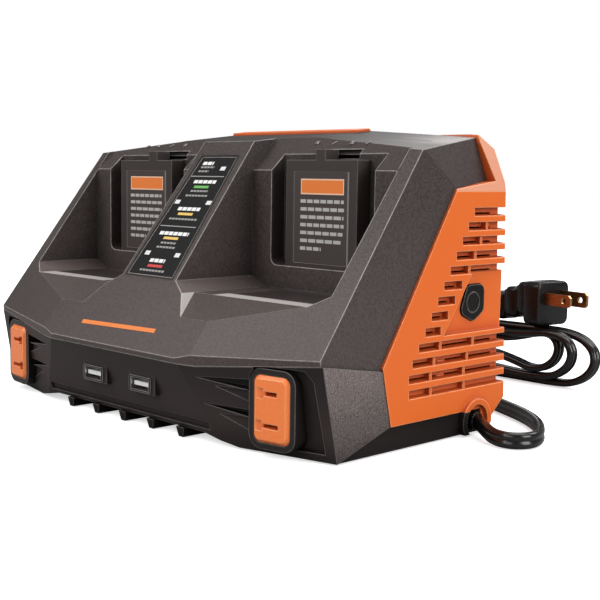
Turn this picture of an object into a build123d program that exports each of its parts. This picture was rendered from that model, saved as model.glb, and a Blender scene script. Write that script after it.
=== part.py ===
from build123d import *
import os
from math import pi, tan, radians

# Dual-bay power tool battery charger. Millimetres, +Z up, front faces -Y.
# The origin is on the resting plane, midway across the width and the depth.

# --- outer form: distances "behind" are measured back from the nose edge ---
DEPTH = 131.0
NOSE_Y = -DEPTH / 2
NOSE_Z = 35.0
HALF_WIDTH = 118.2
NOSE_HALF = HALF_WIDTH - 63.5
SIDE_DRAFT = 0.040
SKIRT_Z = 0.8
WALL = 3.0
FACE_RISE = tan(radians(52.8))
FACE_SWEEP = 0.2138
ROOF_FRONT = 84.0
ROOF_Z = 127.3
ROOF_RISE = 0.12
ROOF_FLAT_HALF = 45.0
ROOF_FALL = 0.077
RIDGE = DEPTH - 13.0
REAR_BEVEL = 0.74
REAR_LOW = DEPTH - 2.0
REAR_LEAN = 0.02
REAR_UNDERCUT = (DEPTH - 19.5, 12.5, 15.5)
REAR_CORNER = 1.6
CORNER_BEHIND = 74.7
CORNER_X = HALF_WIDTH - 4.7
CORNER_Z = 121.0
CORNER_LEAN = (0.18, 0.2926)
SHOULDER_X = HALF_WIDTH + 43.2
SHOULDER_LEAN = 0.444

# --- front fascia ---
FASCIA_LEAN = 0.303
SWEPT_BEHIND = 12.3
SWEPT_X = HALF_WIDTH - 44.2
SWEPT_TURN = 0.2219
SWEPT_LEAN = 0.1771
FASCIA_TOP = 32.6
FASCIA_RISE = 0.1351
FASCIA_FALL = 0.1626
FASCIA_TOP_BEHIND = 1.2
WING_PROUD = 0.8
LIP_GROOVE_Z = 6.2
LIP_GROOVE_HEIGHT = 3.2
LIP_GROOVE_DEPTH = 0.9
LIP_HALF = HALF_WIDTH - 58.2
GILL_TIP_X = HALF_WIDTH - 62.2
GILL_END_X = HALF_WIDTH - 35.2
GILL_SHALLOW = 2.4
GILL_DEEP = 6.6
GILL_LINING = 1.8
GILLS = ((28.4, 21.0, 25.7, 30.2), (18.0, 8.0, 14.3, 17.6))

# --- where the mouldings part, as (behind, height) ---
BASE_TOP = 10.8
BASE_START = 22.2
BASE_END = DEPTH - 20.0
COVER_FOOT_X = HALF_WIDTH - 6.0
COVER_LOW = 52.5
COVER_ELBOW = (48.1, 34.7)
COVER_SHOULDER = (95.8, 105.1)
COVER_STEP = (DEPTH - 6.1, 108.6)
COVER_CREST = (DEPTH - 8.1, 125.1)
COVER_PROUD = 1.2
TAB_FRONT = DEPTH - 22.0
TAB_HALF = 44.0

# --- battery bays ---
BAY_CENTRE = HALF_WIDTH - 54.9
BAY_HALF = 43.4
BAY_DRAFT = 0.031
BAY_FLOOR = 59.0
BAY_FRONT = 25.2
BAY_BACK = 66.8
BAY_CHAMFER = (8.5, 4.5)
APRON_RUN = 13.8
APRON_DROP = 9.0
APRON_TAPER = 0.9
PILLAR_TOP = 112.2
PILLAR_SLOPE = 0.9
PILLAR_RUN = 15.8
BAND_RUN = 81.0
BAY_ABOVE = ROOF_Z + 42.7
APRON_DEEP = 18.0
CHANNEL_BACK = 74.9
CHANNEL_HALF = 31.4
CHANNEL_FLOOR = 69.5
CHANNEL_RADIUS = 3.6
BAND_FOOT = 121.3
LATCH_HEIGHT = 3.9
RIGHT_LATCH = (BAY_CENTRE - 5.0, BAY_CENTRE + 15.2)
LEFT_LATCH = (BAY_CENTRE - 23.3, BAY_CENTRE - 3.3)
RIGHT_RIB = (BAY_CENTRE - 3.3, BAY_CENTRE + 2.5)
LEFT_RIB = (BAY_CENTRE - 9.3, BAY_CENTRE - 2.7)

# --- terminal blocks ---
BLOCK_HALF = 21.6
BLOCK_TOP_GAP = 4.6
BLOCK_TOP = BAND_FOOT - BLOCK_TOP_GAP
BLOCK_STEM_HALF = 14.0
BLOCK_STEM = (BLOCK_TOP - 32.7, BLOCK_TOP - 10.7)
BLOCK_STEM_LENGTH = 6.5
LABEL_HALF = 16.7
LABEL_BOTTOM = CHANNEL_FLOOR + 2.1
LABEL_TOP = BLOCK_TOP - 5.3
LABEL_THICK = 0.6
BLADE_THICK = 0.8
BLADE_PITCH = 7.6
BLADE_COUNT = 4
BLADE_SUNK = 0.6
BLADE_DEPTH = (3.0, 7.4)

# --- status label on the console ---
BAY_INNER = BAY_CENTRE - BAY_HALF
STATUS_HALF_LOW = BAY_INNER - 3.6
STATUS_HALF_HIGH = BAY_INNER - 7.7
STATUS_LOW = 64.6
STATUS_HIGH = 117.7
STATUS_THICK = 0.5
LAMP_SIZE = 4.0
LAMP_GAP = 0.05
LAMP_X = (BAY_INNER - 12.7, BAY_INNER - 8.5, BAY_INNER - 8.9)
LAMPS = (
    (LAMP_X[0], 112.6),
    (LAMP_X[1], 97.0),
    (-LAMP_X[1], 97.0),
    (LAMP_X[2], 73.8),
    (-LAMP_X[2], 73.8),
)
PIPE_LENGTH = 7.0
LED_SIZE = (3.0, 2.4)
LED_HEIGHT = 1.4
LAMP_BOARD_GAP = 4.9
LAMP_BOARD = (2 * (BAY_INNER - LAMP_BOARD_GAP), 58.0)
LAMP_BOARD_THICK = 1.6
POST_SIZE = (5.0, 3.0)

# --- louvres in the rear cover ---
LOUVRE_ROWS = 13
LOUVRE_TOP = 97.2
LOUVRE_PITCH = 6.10
LOUVRE_HEIGHT = 3.5
LOUVRE_SLOPE = 0.7
LOUVRE_DEPTH = 3.1
LOUVRE_MARGIN = 16.8
LOUVRE_LOW_START = 63.6
LOUVRE_SLIT = 0.7
LOUVRE_WRAP = 34.0
RIB_WIDTH = 1.6
LOW_RIBS = (13.5, 35.5)
HIGH_RIBS = (12.6,)
SHORT_ROWS = (5, 6, 7, 8)
RECESS_DEPTH = 3.3
RECESS = ((DEPTH - 25.0, 69.8), (DEPTH - 45.0, 44.4))
RECESS_GAP = 5.0
RECESS_BACKING = 4.6

# --- reset button and circuit breaker ---
BUTTON_CENTRE = (DEPTH - 22.0, 56.6)
BUTTON_OUTLINE = ((-3.9, 7.6), (7.9, 7.6), (7.9, -4.0), (0.6, -8.2), (-8.6, -4.2))
BUTTON_RADIUS = 3.4
BUTTON_PROUD = 0.9
BUTTON_THICK = 3.2
BUTTON_CLEAR = 0.35
BUTTON_TRAVEL = 2.0
STEM_RADIUS = 2.6
STEM_CLEAR = 0.08
SPRING_RADIUS = 4.4
SPRING_WIRE = 0.6
BUSH_RADIUS = 5.5
BREAKER_SIZE = (20.0, 16.0, 24.0)

# --- outlets ---
OUTLET_X = HALF_WIDTH - 23.6
OUTLET_Z = 19.5
OUTLET_TURN = 7.65
OUTLET_FRONT = 9.4
OUTLET_SIZE = (18.2, 26.8)
OUTLET_RADIUS = 3.4
BEZEL_RIM = 2.5
BEZEL_SUNK = 1.2
BEZEL_DEPTH = 15.0
FACE_THICK = 7.0
FACE_BEVEL = 1.5
SLOT_SPACING = 12.7
SLOT_WIDTHS = (8.4, 6.8)
SLOT_RAMP = 3.6
SLOT_HEIGHT = 1.8
CONTACT_DEPTH = 9.0
CONTACT_WALL = 0.8
POCKET_OUTER_X = HALF_WIDTH - 4.0
POCKET_TOP = 36.2
POCKET_BOTTOM = 4.0
POCKET_DEPTH = 2.1

# --- USB ports ---
RIGHT_USB_X = 19.6
LEFT_USB_X = -15.9
USB_Z = 20.0
USB_BLOCK_SIDE = 1.0
USB_BLOCK_HALF = 9.1
USB_BLOCK_TOP = 24.7
USB_BLOCK_BOTTOM = 16.2
USB_RIM = (15.5, 6.9)
USB_RIM_THICK = 0.6
USB_SHELL = (13.4, 5.9)
USB_SHELL_WALL = 0.4
USB_LENGTH = 14.0
TONGUE_HEIGHT = 1.8
TONGUE_RISE = 0.9
USB_BOARD_SIZE = (60.0, 16.0, 1.6)
USB_POST_X = USB_BOARD_SIZE[0] / 2 - 6.0
USB_POST_RADIUS = 3.0

# --- base ---
FLOOR_THICK = 2.5
FLOOR_Z = 4.3
TUNNEL_HALF = HALF_WIDTH - 63.2
TUNNEL_FOOT_HALF = HALF_WIDTH - 44.2
FIN_COUNT = 5
FIN_PITCH = 20.8
FIN_TIP = 3.0
FIN_ROOT = 7.0
FIN_Z = 0.3
FIN_FRONT = 7.7
FIN_SHIFT = 0.1
FIN_LENGTH = 34.0
FOOT_RADIUS = 7.0
FOOT_HEIGHT = 2.0
FOOT_RECESS = 1.2
FOOT_X = HALF_WIDTH - 30.2
FOOT_PLACES = ((FOOT_X, 32.0), (FOOT_X, DEPTH - 31.0))
SCREW_RADIUS = 1.5
SCREW_HEAD = 3.0
SCREW_HEAD_HEIGHT = 1.8
SCREW_LENGTH = 22.0
BOSS_RADIUS = 4.2
BOSS_FOOT = 8.4
SCREW_X = HALF_WIDTH - 18.2
BAY_SCREWS = ((SCREW_X, 42.0), (SCREW_X, 60.0))
REAR_SCREW = (HALF_WIDTH - 6.8, 88.0)
REAR_BOSS_TOP = 34.0

# --- boards and what stands on them ---
BOARD_FRONT = 45.0
BOARD_SIDE_GAP = 33.2
BOARD_REAR_GAP = 12.0
BOARD_WIDTH = 2 * (HALF_WIDTH - BOARD_SIDE_GAP)
BOARD_LENGTH = DEPTH - BOARD_FRONT - BOARD_REAR_GAP
BOARD_SIZE = (BOARD_WIDTH, BOARD_LENGTH, 1.6)
BOARD_Z = 14.0
BOARD_HOLE_INSET = 6.0
BOARD_BOSS = 3.4
BOARD_SCREW = 1.2
CORE_SIZE = (34.0, 26.0, 30.0)
CORE_X = -14.0
CORE_BEHIND = DEPTH - 30.0
WINDING_SIZE = (24.0, 32.0, 20.0)
CHOKE_RADIUS = 11.0
CHOKE_WIDTH = 10.0
CHOKE_PLACE = (62.0, 62.0)
BULK_RADIUS = 11.0
BULK_LENGTH = 34.0
BULK_PLACE = (30.0, 62.0)
SMOOTH_RADIUS = 5.0
SMOOTH_LENGTH = 20.0
SMOOTH_X = (-70.0, -57.0, -44.0, -31.0)
SMOOTH_BEHIND = 64.0
SINK_SIZE = (46.0, 3.0, 40.0)
SINK_FINS = 6
SINK_FIN = (1.4, 9.0)
SINK_X = (-58.0, 34.0)
SINK_BEHIND = DEPTH - 39.0
TRANSISTOR = (10.0, 4.4, 15.0)
RELAY_SIZE = (18.0, 15.0, 15.0)
RELAY_PLACE = (0.0, 62.0)
FUSE_RADIUS = 2.6
FUSE_LENGTH = 20.0
FUSE_PLACE = (BOARD_WIDTH / 2 - 13.0, 84.0)
PLUG_ROW_SIZE = (15.0, 6.0, 8.0)
PLUG_ROW_INSET = 21.0
PLUG_ROW_END = BOARD_WIDTH / 2 - PLUG_ROW_INSET
PLUG_ROW_X = (-PLUG_ROW_END, -30.0, 6.0, PLUG_ROW_END)
PLUG_ROW_BEHIND = 49.0

# --- cord, hank and plug ---
CORD_TUBE = 6.6
CORD_EXIT = (HALF_WIDTH + 2.8, 41.0, 6.0)
GLAND_LENGTH = 16.0
GLAND_FLANGE = 5.6
HOOD_RADIUS = (7.2, 9.8)
HOOD_OUT = 2.0
CORD_POINTS = (
    CORD_EXIT,
    (HALF_WIDTH + 11.2, 34.8, 5.0),
    (HALF_WIDTH + 19.2, 29.6, 3.9),
    (HALF_WIDTH + 27.8, 28.6, 3.6),
    (HALF_WIDTH + 33.4, 35.0, 3.5),
    (HALF_WIDTH + 32.4, 43.8, 3.5),
    (HALF_WIDTH + 26.4, 53.4, 3.5),
    (HALF_WIDTH + 17.2, 64.6, 3.5),
    (HALF_WIDTH + 2.6, 75.4, 3.5),
    (101.8, 85.2, 3.5),
    (79.0, 95.8, 3.5),
    (53.0, 109.4, 3.5),
    (22.0, 122.6, 3.5),
    (-12.0, 139.4, 3.5),
    (-42.0, 150.6, 3.6),
    (-58.0, 158.5, 5.0),
)
HANK_X = (-72.0, 102.0)
HANK_Y = (157.0, 177.0)
HANK_HEIGHT = 31.6
HANK_END = 14.0
TIE_X = -20.0
TIE_WIDTH = 6.0
TIE_THICK = 1.2
PLUG_FACE = (73.0, 169.6)
PLUG_TURN = -10.0
PLUG_BODY = (11.0, 24.0, 24.0)
PLUG_NECK = 30.0
PLUG_NECK_SIZE = (16.0, 15.0)
PIN_RISE = 15.0
PIN_SPACING = 12.7
PIN_WIDTHS = (6.35, 7.94)
PIN_THICK = 1.5
PIN_LENGTH = 18.0
PIN_ROOT = 8.0
PIN_HOLE = 1.6
PIN_HOLE_BACK = 4.6

REACH = 300.0
CLEAR = 30.0


def behind(distance):
    return NOSE_Y + distance


def block(x, y, z):
    size = (x[1] - x[0], y[1] - y[0], z[1] - z[0])
    corner = Pos(x[0], y[0], z[0])
    return corner * Box(*size, align=(Align.MIN, Align.MIN, Align.MIN))


def prism_x(points, x):
    outline = Polyline(*[(x[0], behind(d), z) for d, z in points], close=True)
    return extrude(make_face(outline), amount=x[1] - x[0], dir=(1, 0, 0))


def prism_y(points, y):
    outline = Polyline(*[(px, y[0], pz) for px, pz in points], close=True)
    return extrude(make_face(outline), amount=y[1] - y[0], dir=(0, 1, 0))


def prism_z(points, z):
    outline = Polyline(*[(px, py, z[0]) for px, py in points], close=True)
    return extrude(make_face(outline), amount=z[1] - z[0], dir=(0, 0, 1))


def turning(points):
    """Twice the signed area: positive when the outline runs anticlockwise."""
    return sum(a[0] * b[1] - b[0] * a[1] for a, b in zip(points, points[1:] + points[:1]))


def grown(points, amount):
    """The outline with every side moved outwards by amount."""
    points = list(points)
    sign = 1 if turning(points) > 0 else -1
    sides = []
    for a, b in zip(points, points[1:] + points[:1]):
        along = Vector(b[0] - a[0], b[1] - a[1]).normalized()
        out = Vector(along.Y, -along.X) * sign * amount
        sides.append((Vector(*a) + out, along))
    corners = []
    for (p, u), (q, v) in zip(sides[-1:] + sides[:-1], sides):
        reach = (q - p).cross(v).Z / u.cross(v).Z
        corners.append((p.X + u.X * reach, p.Y + u.Y * reach))
    return corners


def rod_x(radius, x, y, z):
    centre = Pos((x[0] + x[1]) / 2, y, z) * Rot(0, 90, 0)
    return centre * Cylinder(radius, x[1] - x[0])


def rod_z(radius, x, y, z):
    return Pos(x, y, z[0]) * Cylinder(radius, z[1] - z[0], align=(Align.CENTER, Align.CENTER, Align.MIN))


def rod_y(radius, x, y, z):
    centre = Pos(x, (y[0] + y[1]) / 2, z) * Rot(90, 0, 0)
    return centre * Cylinder(radius, y[1] - y[0])


def rounded_block(centre, size, radius, y):
    outline = Plane(origin=(centre[0], y[1], centre[1]), x_dir=(1, 0, 0), z_dir=(0, -1, 0))
    return extrude(outline * RectangleRounded(size[0], size[1], radius), amount=y[1] - y[0])


def other_side(shape):
    return mirror(shape, about=Plane.YZ)


def trimmed(solid, point, normal, inset=0.0):
    direction = Vector(*normal).normalized()
    origin = Vector(*point) - direction * inset
    return split(solid, bisect_by=Plane(origin=origin, z_dir=direction), keep=Keep.BOTTOM)


def face_plane():
    return (0, NOSE_Y, NOSE_Z), (0, -FACE_RISE, 1)


def fascia_plane():
    return (0, NOSE_Y, NOSE_Z), (0, -1, -FASCIA_LEAN)


def swept_y(x, z):
    return behind(SWEPT_BEHIND) + SWEPT_TURN * (abs(x) - SWEPT_X) - SWEPT_LEAN * z


def form(inset=0.0, proud=0.0, cover=False, floor=True):
    solid = block((-REACH, REACH), (-REACH, REACH), (-CLEAR, ROOF_Z + 2 * CLEAR))
    solid = trimmed(solid, *face_plane(), inset)
    solid = trimmed(solid, *fascia_plane(), inset)
    solid = trimmed(solid, (0, behind(ROOF_FRONT), ROOF_Z + proud), (0, -ROOF_RISE, 1), inset)
    ridge_z = ROOF_Z + ROOF_RISE * (RIDGE - ROOF_FRONT) + proud
    solid = trimmed(solid, (0, behind(RIDGE), ridge_z), (0, REAR_BEVEL, 1), inset)
    solid = trimmed(solid, (0, behind(REAR_LOW), 0), (0, 1, -REAR_LEAN), inset)
    start, run, rise = REAR_UNDERCUT
    solid = trimmed(solid, (0, behind(start), SKIRT_Z), (0, run, -rise), inset)
    if floor:
        solid = trimmed(solid, (0, 0, SKIRT_Z), (0, 0, -1), inset)
    for side in (1, -1):
        edge = (side * (HALF_WIDTH + proud), 0, 0)
        solid = trimmed(solid, edge, (side, 0, SIDE_DRAFT), inset)
        corner = (side * (HALF_WIDTH + proud - REAR_CORNER), behind(REAR_LOW), 0)
        solid = trimmed(solid, corner, (side, 1, SIDE_DRAFT - REAR_LEAN), inset)
        solid = trimmed(solid, (side * NOSE_HALF, NOSE_Y, NOSE_Z), (side * FACE_SWEEP, -FACE_RISE, 1), inset)
        hip = (side * ROOF_FLAT_HALF, behind(ROOF_FRONT), ROOF_Z + proud)
        solid = trimmed(solid, hip, (side * ROOF_FALL, -ROOF_RISE, 1), inset)
        swept = (side * SWEPT_X, behind(SWEPT_BEHIND), 0)
        solid = trimmed(solid, swept, (side * SWEPT_TURN, -1, -SWEPT_LEAN), inset)
        if cover:
            solid = trimmed(solid, (side * SHOULDER_X, 0, 0), (side, 0, SHOULDER_LEAN), inset)
        else:
            corner = (side * CORNER_X, behind(CORNER_BEHIND), CORNER_Z)
            solid = trimmed(solid, corner, (side, CORNER_LEAN[0], CORNER_LEAN[1]), inset)
    return solid


def cover_zone():
    sides = (
        (COVER_CREST[0], ROOF_Z + CLEAR),
        COVER_CREST,
        COVER_STEP,
        COVER_SHOULDER,
        COVER_ELBOW,
        (COVER_LOW, BASE_TOP),
        (DEPTH + CLEAR, BASE_TOP),
        (DEPTH + CLEAR, ROOF_Z + CLEAR),
    )
    tab_y = (behind(TAB_FRONT), behind(DEPTH) + CLEAR)
    tab = block((-TAB_HALF, TAB_HALF), tab_y, (COVER_SHOULDER[1], ROOF_Z + CLEAR))
    return prism_x(sides, (-REACH, REACH)) + tab + cover_feet()


def cover_feet():
    """The strip of each side, behind the cord, where the cover reaches the floor."""
    return both_sides(block((COVER_FOOT_X, REACH), (behind(BASE_END), REACH), (-5.0, BASE_TOP)))


def base_zone():
    profile = (
        (BASE_START, SKIRT_Z),
        (COVER_LOW, BASE_TOP),
        (DEPTH + CLEAR, BASE_TOP),
        (DEPTH + CLEAR, -5.0),
        (BASE_START, -5.0),
    )
    return prism_x(profile, (-REACH, REACH)) - cover_feet()


def fascia_zone():
    profile = (
        (-10.0, -5.0),
        (BASE_START, -5.0),
        (BASE_START, SKIRT_Z),
        (COVER_LOW, BASE_TOP),
        COVER_ELBOW,
        (COVER_ELBOW[0], BAY_FLOOR),
        (-10.0, BAY_FLOOR),
    )
    zone = prism_x(profile, (-REACH, REACH))
    above = block((-REACH, REACH), (-REACH, REACH), (FASCIA_TOP, REACH))
    for side in (1, -1):
        corner = (side * NOSE_HALF, behind(FASCIA_TOP_BEHIND), FASCIA_TOP)
        above = trimmed(above, corner, (side * FASCIA_RISE, -FASCIA_FALL, -1))
    return zone - above


def tunnel():
    profile = (
        (-TUNNEL_FOOT_HALF, -5.0),
        (-TUNNEL_FOOT_HALF, SKIRT_Z),
        (-TUNNEL_HALF, FLOOR_Z),
        (TUNNEL_HALF, FLOOR_Z),
        (TUNNEL_FOOT_HALF, SKIRT_Z),
        (TUNNEL_FOOT_HALF, -5.0),
    )
    return prism_y(profile, (-REACH, REACH))


def bay_side_profile():
    steps = 1.8
    return (
        (BAY_BACK, BAY_FLOOR),
        (BAY_FRONT, BAY_FLOOR),
        (BAY_FRONT - steps * APRON_RUN, BAY_FLOOR - steps * APRON_DROP),
        (-20.0, BAY_FLOOR - steps * APRON_DROP),
        (-20.0, BAY_ABOVE),
        (BAY_BACK + BAND_RUN, BAY_ABOVE),
        (BAY_BACK + PILLAR_RUN, PILLAR_TOP + PILLAR_SLOPE * PILLAR_RUN),
        (BAY_BACK, PILLAR_TOP),
    )


def bay_front_profile():
    inner = BAY_CENTRE - BAY_HALF
    outer = BAY_CENTRE + BAY_HALF
    ledge = BAY_FLOOR + BAY_CHAMFER[1]
    low = BAY_FLOOR - APRON_DEEP
    taper = APRON_TAPER * APRON_DEEP
    return (
        (inner + BAY_CHAMFER[0], BAY_FLOOR),
        (inner, ledge),
        (inner - BAY_DRAFT * (BAY_ABOVE - ledge), BAY_ABOVE),
        (outer, BAY_ABOVE),
        (outer, ledge),
        (outer - BAY_CHAMFER[0], BAY_FLOOR),
        (outer - BAY_CHAMFER[0] - taper, low),
        (inner + BAY_CHAMFER[0] + taper, low),
    )


def bay_hollow(grow=0.0):
    side = bay_side_profile()
    front = bay_front_profile()
    if grow:
        side = grown(side, grow)
        front = grown(front, grow)
    return prism_x(side, (0.0, REACH)) & prism_y(front, (-REACH, REACH))


def channel_hollow(grow=0.0):
    x = (BAY_CENTRE - CHANNEL_HALF - grow, BAY_CENTRE + CHANNEL_HALF + grow)
    y = (behind(BAY_BACK - 2.0), behind(CHANNEL_BACK) + grow)
    hollow = block(x, y, (CHANNEL_FLOOR - grow, BAND_FOOT + grow))
    if grow:
        return hollow
    corners = hollow.edges().filter_by(Axis.Y).sort_by(Axis.Z)[:2]
    return fillet(corners, CHANNEL_RADIUS)


def latch_windows():
    y = (behind(CHANNEL_BACK) - 1.0, behind(CHANNEL_BACK) + WALL + 1.0)
    z = (BAND_FOOT - LATCH_HEIGHT, BAND_FOOT)
    return block(RIGHT_LATCH, y, z) + other_side(block(LEFT_LATCH, y, z))


def stem_hollow(clearance=0.0):
    half = BLOCK_STEM_HALF + clearance
    y = (behind(CHANNEL_BACK), behind(CHANNEL_BACK) + BLOCK_STEM_LENGTH)
    x = (BAY_CENTRE - half, BAY_CENTRE + half)
    return block(x, y, (BLOCK_STEM[0] - clearance, BLOCK_STEM[1] + clearance))


def both_sides(shape):
    return shape + other_side(shape)


def status_outline(z_low, z_high, half_low, half_high, thickness):
    normal = Vector(0, -FACE_RISE, 1).normalized()
    low = Vector(0, NOSE_Y + (z_low - NOSE_Z) / FACE_RISE, z_low)
    high = Vector(0, NOSE_Y + (z_high - NOSE_Z) / FACE_RISE, z_high)
    corners = (
        low + Vector(-half_low, 0, 0),
        low + Vector(half_low, 0, 0),
        high + Vector(half_high, 0, 0),
        high + Vector(-half_high, 0, 0),
    )
    face = make_face(Polyline(*corners, close=True))
    return extrude(face, amount=thickness, dir=-normal)


def status_label():
    label = status_outline(STATUS_LOW, STATUS_HIGH, STATUS_HALF_LOW, STATUS_HALF_HIGH, STATUS_THICK)
    for x, z in LAMPS:
        label -= lamp_post(x, z, STATUS_THICK + 1.0, LAMP_GAP, 0.5)
    return label


def lamp_post(x, z, length, clearance=0.0, above=0.0):
    normal = Vector(0, -FACE_RISE, 1).normalized()
    foot = Vector(x, NOSE_Y + (z - NOSE_Z) / FACE_RISE, z)
    plane = Plane(origin=foot + normal * above, x_dir=(1, 0, 0), z_dir=-normal)
    side = LAMP_SIZE + 2 * clearance
    return extrude(plane * Rectangle(side, side), amount=length)


def indicator_board():
    normal = Vector(0, -FACE_RISE, 1).normalized()
    drop = PIPE_LENGTH + LED_HEIGHT
    middle_z = (STATUS_LOW + STATUS_HIGH) / 2 + 1.0
    middle = Vector(0, NOSE_Y + (middle_z - NOSE_Z) / FACE_RISE, middle_z) - normal * drop
    plane = Plane(origin=middle, x_dir=(1, 0, 0), z_dir=-normal)
    return extrude(plane * Rectangle(*LAMP_BOARD), amount=LAMP_BOARD_THICK)


def indicator_leds():
    normal = Vector(0, -FACE_RISE, 1).normalized()
    leds = []
    for x, z in LAMPS:
        foot = Vector(x, NOSE_Y + (z - NOSE_Z) / FACE_RISE, z) - normal * PIPE_LENGTH
        plane = Plane(origin=foot, x_dir=(1, 0, 0), z_dir=-normal)
        leds.append(extrude(plane * Rectangle(*LED_SIZE), amount=LED_HEIGHT))
    return Compound(children=leds)


def board_posts():
    """Two ribs under the console that carry the indicator board."""
    normal = Vector(0, -FACE_RISE, 1).normalized()
    posts = None
    for z in (STATUS_LOW + 20.0, STATUS_HIGH - 12.0):
        foot = Vector(0, NOSE_Y + (z - NOSE_Z) / FACE_RISE, z) - normal * (WALL - 0.5)
        plane = Plane(origin=foot, x_dir=(1, 0, 0), z_dir=-normal)
        post = extrude(plane * Rectangle(*POST_SIZE), amount=PIPE_LENGTH + LED_HEIGHT - WALL + 0.5)
        posts = post if posts is None else posts + post
    return posts


def upper_housing():
    outer = form()
    shell = outer - form(WALL, floor=False)
    shell -= cover_zone()
    shell -= fascia_zone()
    shell -= base_zone()
    hollow = bay_hollow() + channel_hollow()
    lining = (bay_hollow(WALL) + channel_hollow(WALL)) & outer
    lining -= hollow
    shell -= both_sides(hollow)
    shell += both_sides(lining)
    for x, d in BAY_SCREWS:
        post = rod_z(BOSS_RADIUS, x, behind(d), (BOSS_FOOT, BAY_FLOOR - WALL + 0.5))
        post -= rod_z(SCREW_RADIUS, x, behind(d), (BOSS_FOOT, BOSS_FOOT + SCREW_LENGTH))
        shell += both_sides(post)
    shell += board_posts()
    shell -= latch_windows()
    shell -= both_sides(bezel_hole())
    shell -= both_sides(stem_hollow(0.2))
    shell -= status_outline(STATUS_LOW, STATUS_HIGH, STATUS_HALF_LOW, STATUS_HALF_HIGH, STATUS_THICK)
    for x, z in LAMPS:
        shell -= lamp_post(x, z, PIPE_LENGTH, LAMP_GAP)
    return shell


def louvre_start(z):
    run = (COVER_SHOULDER[0] - COVER_ELBOW[0]) / (COVER_SHOULDER[1] - COVER_ELBOW[1])
    return max(COVER_ELBOW[0] + run * (z - COVER_ELBOW[1]) + LOUVRE_MARGIN, LOUVRE_LOW_START)


def side_x(z, proud=0.0):
    return HALF_WIDTH + proud - SIDE_DRAFT * z


def louvre(row):
    top = LOUVRE_TOP - row * LOUVRE_PITCH
    face = side_x(top - LOUVRE_HEIGHT / 2, COVER_PROUD)
    inner = face - LOUVRE_DEPTH
    section = (
        (inner, top),
        (inner, top - LOUVRE_HEIGHT + LOUVRE_SLOPE),
        (face, top - LOUVRE_HEIGHT),
        (face + 3.0, top - LOUVRE_HEIGHT),
        (face + 3.0, top),
    )
    start = behind(louvre_start(top))
    end = behind(DEPTH) + 2.0
    if row in SHORT_ROWS:
        slant = (RECESS[0][0] - RECESS[1][0]) / (RECESS[0][1] - RECESS[1][1])
        end = behind(RECESS[1][0] + slant * (top - RECESS[1][1])) - RECESS_GAP
    cut = prism_y(section, (start, end))
    if row < LOUVRE_ROWS - 1:
        cut += louvre_slit(top, inner, start, end)
    for place in louvre_ribs(row):
        rib = (start + place, start + place + RIB_WIDTH)
        cut -= block((face - 4 * LOUVRE_DEPTH, face - 0.5), rib, (top - LOUVRE_PITCH, top + 1.0))
    return cut


def louvre_slit(top, inner, start, end):
    """The opening through the cover at the back of a row's pocket."""
    slit_z = (top - LOUVRE_HEIGHT + LOUVRE_SLOPE, top - LOUVRE_HEIGHT + LOUVRE_SLOPE + LOUVRE_SLIT)
    slit_end = min(end - 1.5, behind(REAR_LOW - WALL) - 4.0)
    return block((inner - 9.0, inner + 0.5), (start + 1.0, slit_end), slit_z)


def louvre_ribs(row):
    """How far behind a row's start its bridges stand."""
    if row > SHORT_ROWS[-1]:
        return LOW_RIBS
    if 0 < row < SHORT_ROWS[0]:
        return HIGH_RIBS
    return ()


def rear_louvre(row):
    """A row's pocket carried round the corner onto the rear face."""
    top = LOUVRE_TOP - row * LOUVRE_PITCH
    face = behind(REAR_LOW) + REAR_LEAN * top
    section = (
        (face - LOUVRE_DEPTH, top),
        (face - LOUVRE_DEPTH, top - LOUVRE_HEIGHT + LOUVRE_SLOPE),
        (face, top - LOUVRE_HEIGHT),
        (face + 3.0, top - LOUVRE_HEIGHT),
        (face + 3.0, top),
    )
    end = side_x(top, COVER_PROUD) + 2.0
    start = side_x(top, COVER_PROUD) - LOUVRE_WRAP
    outline = Polyline(*[(start, y, z) for y, z in section], close=True)
    return extrude(make_face(outline), amount=end - start, dir=(1, 0, 0))


def recess_profile():
    return (
        RECESS[0],
        (DEPTH + 10.0, RECESS[0][1]),
        (DEPTH + 10.0, RECESS[1][1]),
        RECESS[1],
    )


def recess_x():
    return side_x(BUTTON_CENTRE[1], COVER_PROUD) - RECESS_DEPTH


def button_outline(grow=0.0):
    y = behind(BUTTON_CENTRE[0])
    z = BUTTON_CENTRE[1]
    corners = [(0, y + a, z + b) for a, b in BUTTON_OUTLINE]
    face = make_face(Polyline(*corners, close=True))
    face = fillet(face.vertices(), BUTTON_RADIUS)
    if grow:
        face = offset(face, amount=grow)
    return face


def button_post(x, grow=0.0):
    profile = Pos(x[0], 0, 0) * button_outline(grow)
    return extrude(profile, amount=x[1] - x[0], dir=(1, 0, 0))


def hood():
    centre = (behind(CORD_EXIT[1] - NOSE_Y), CORD_EXIT[2])
    x = (side_x(10.0) - WALL, side_x(10.0, COVER_PROUD) + HOOD_OUT)
    ring = rod_x(HOOD_RADIUS[1], x, *centre) - rod_x(HOOD_RADIUS[0], (x[0] - 1, x[1] + 1), *centre)
    above_foot = block(x, (-REACH, REACH), (SKIRT_Z, REACH))
    start, run, rise = REAR_UNDERCUT
    return trimmed(ring & above_foot, (0, behind(start), SKIRT_Z), (0, run, -rise))


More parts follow.
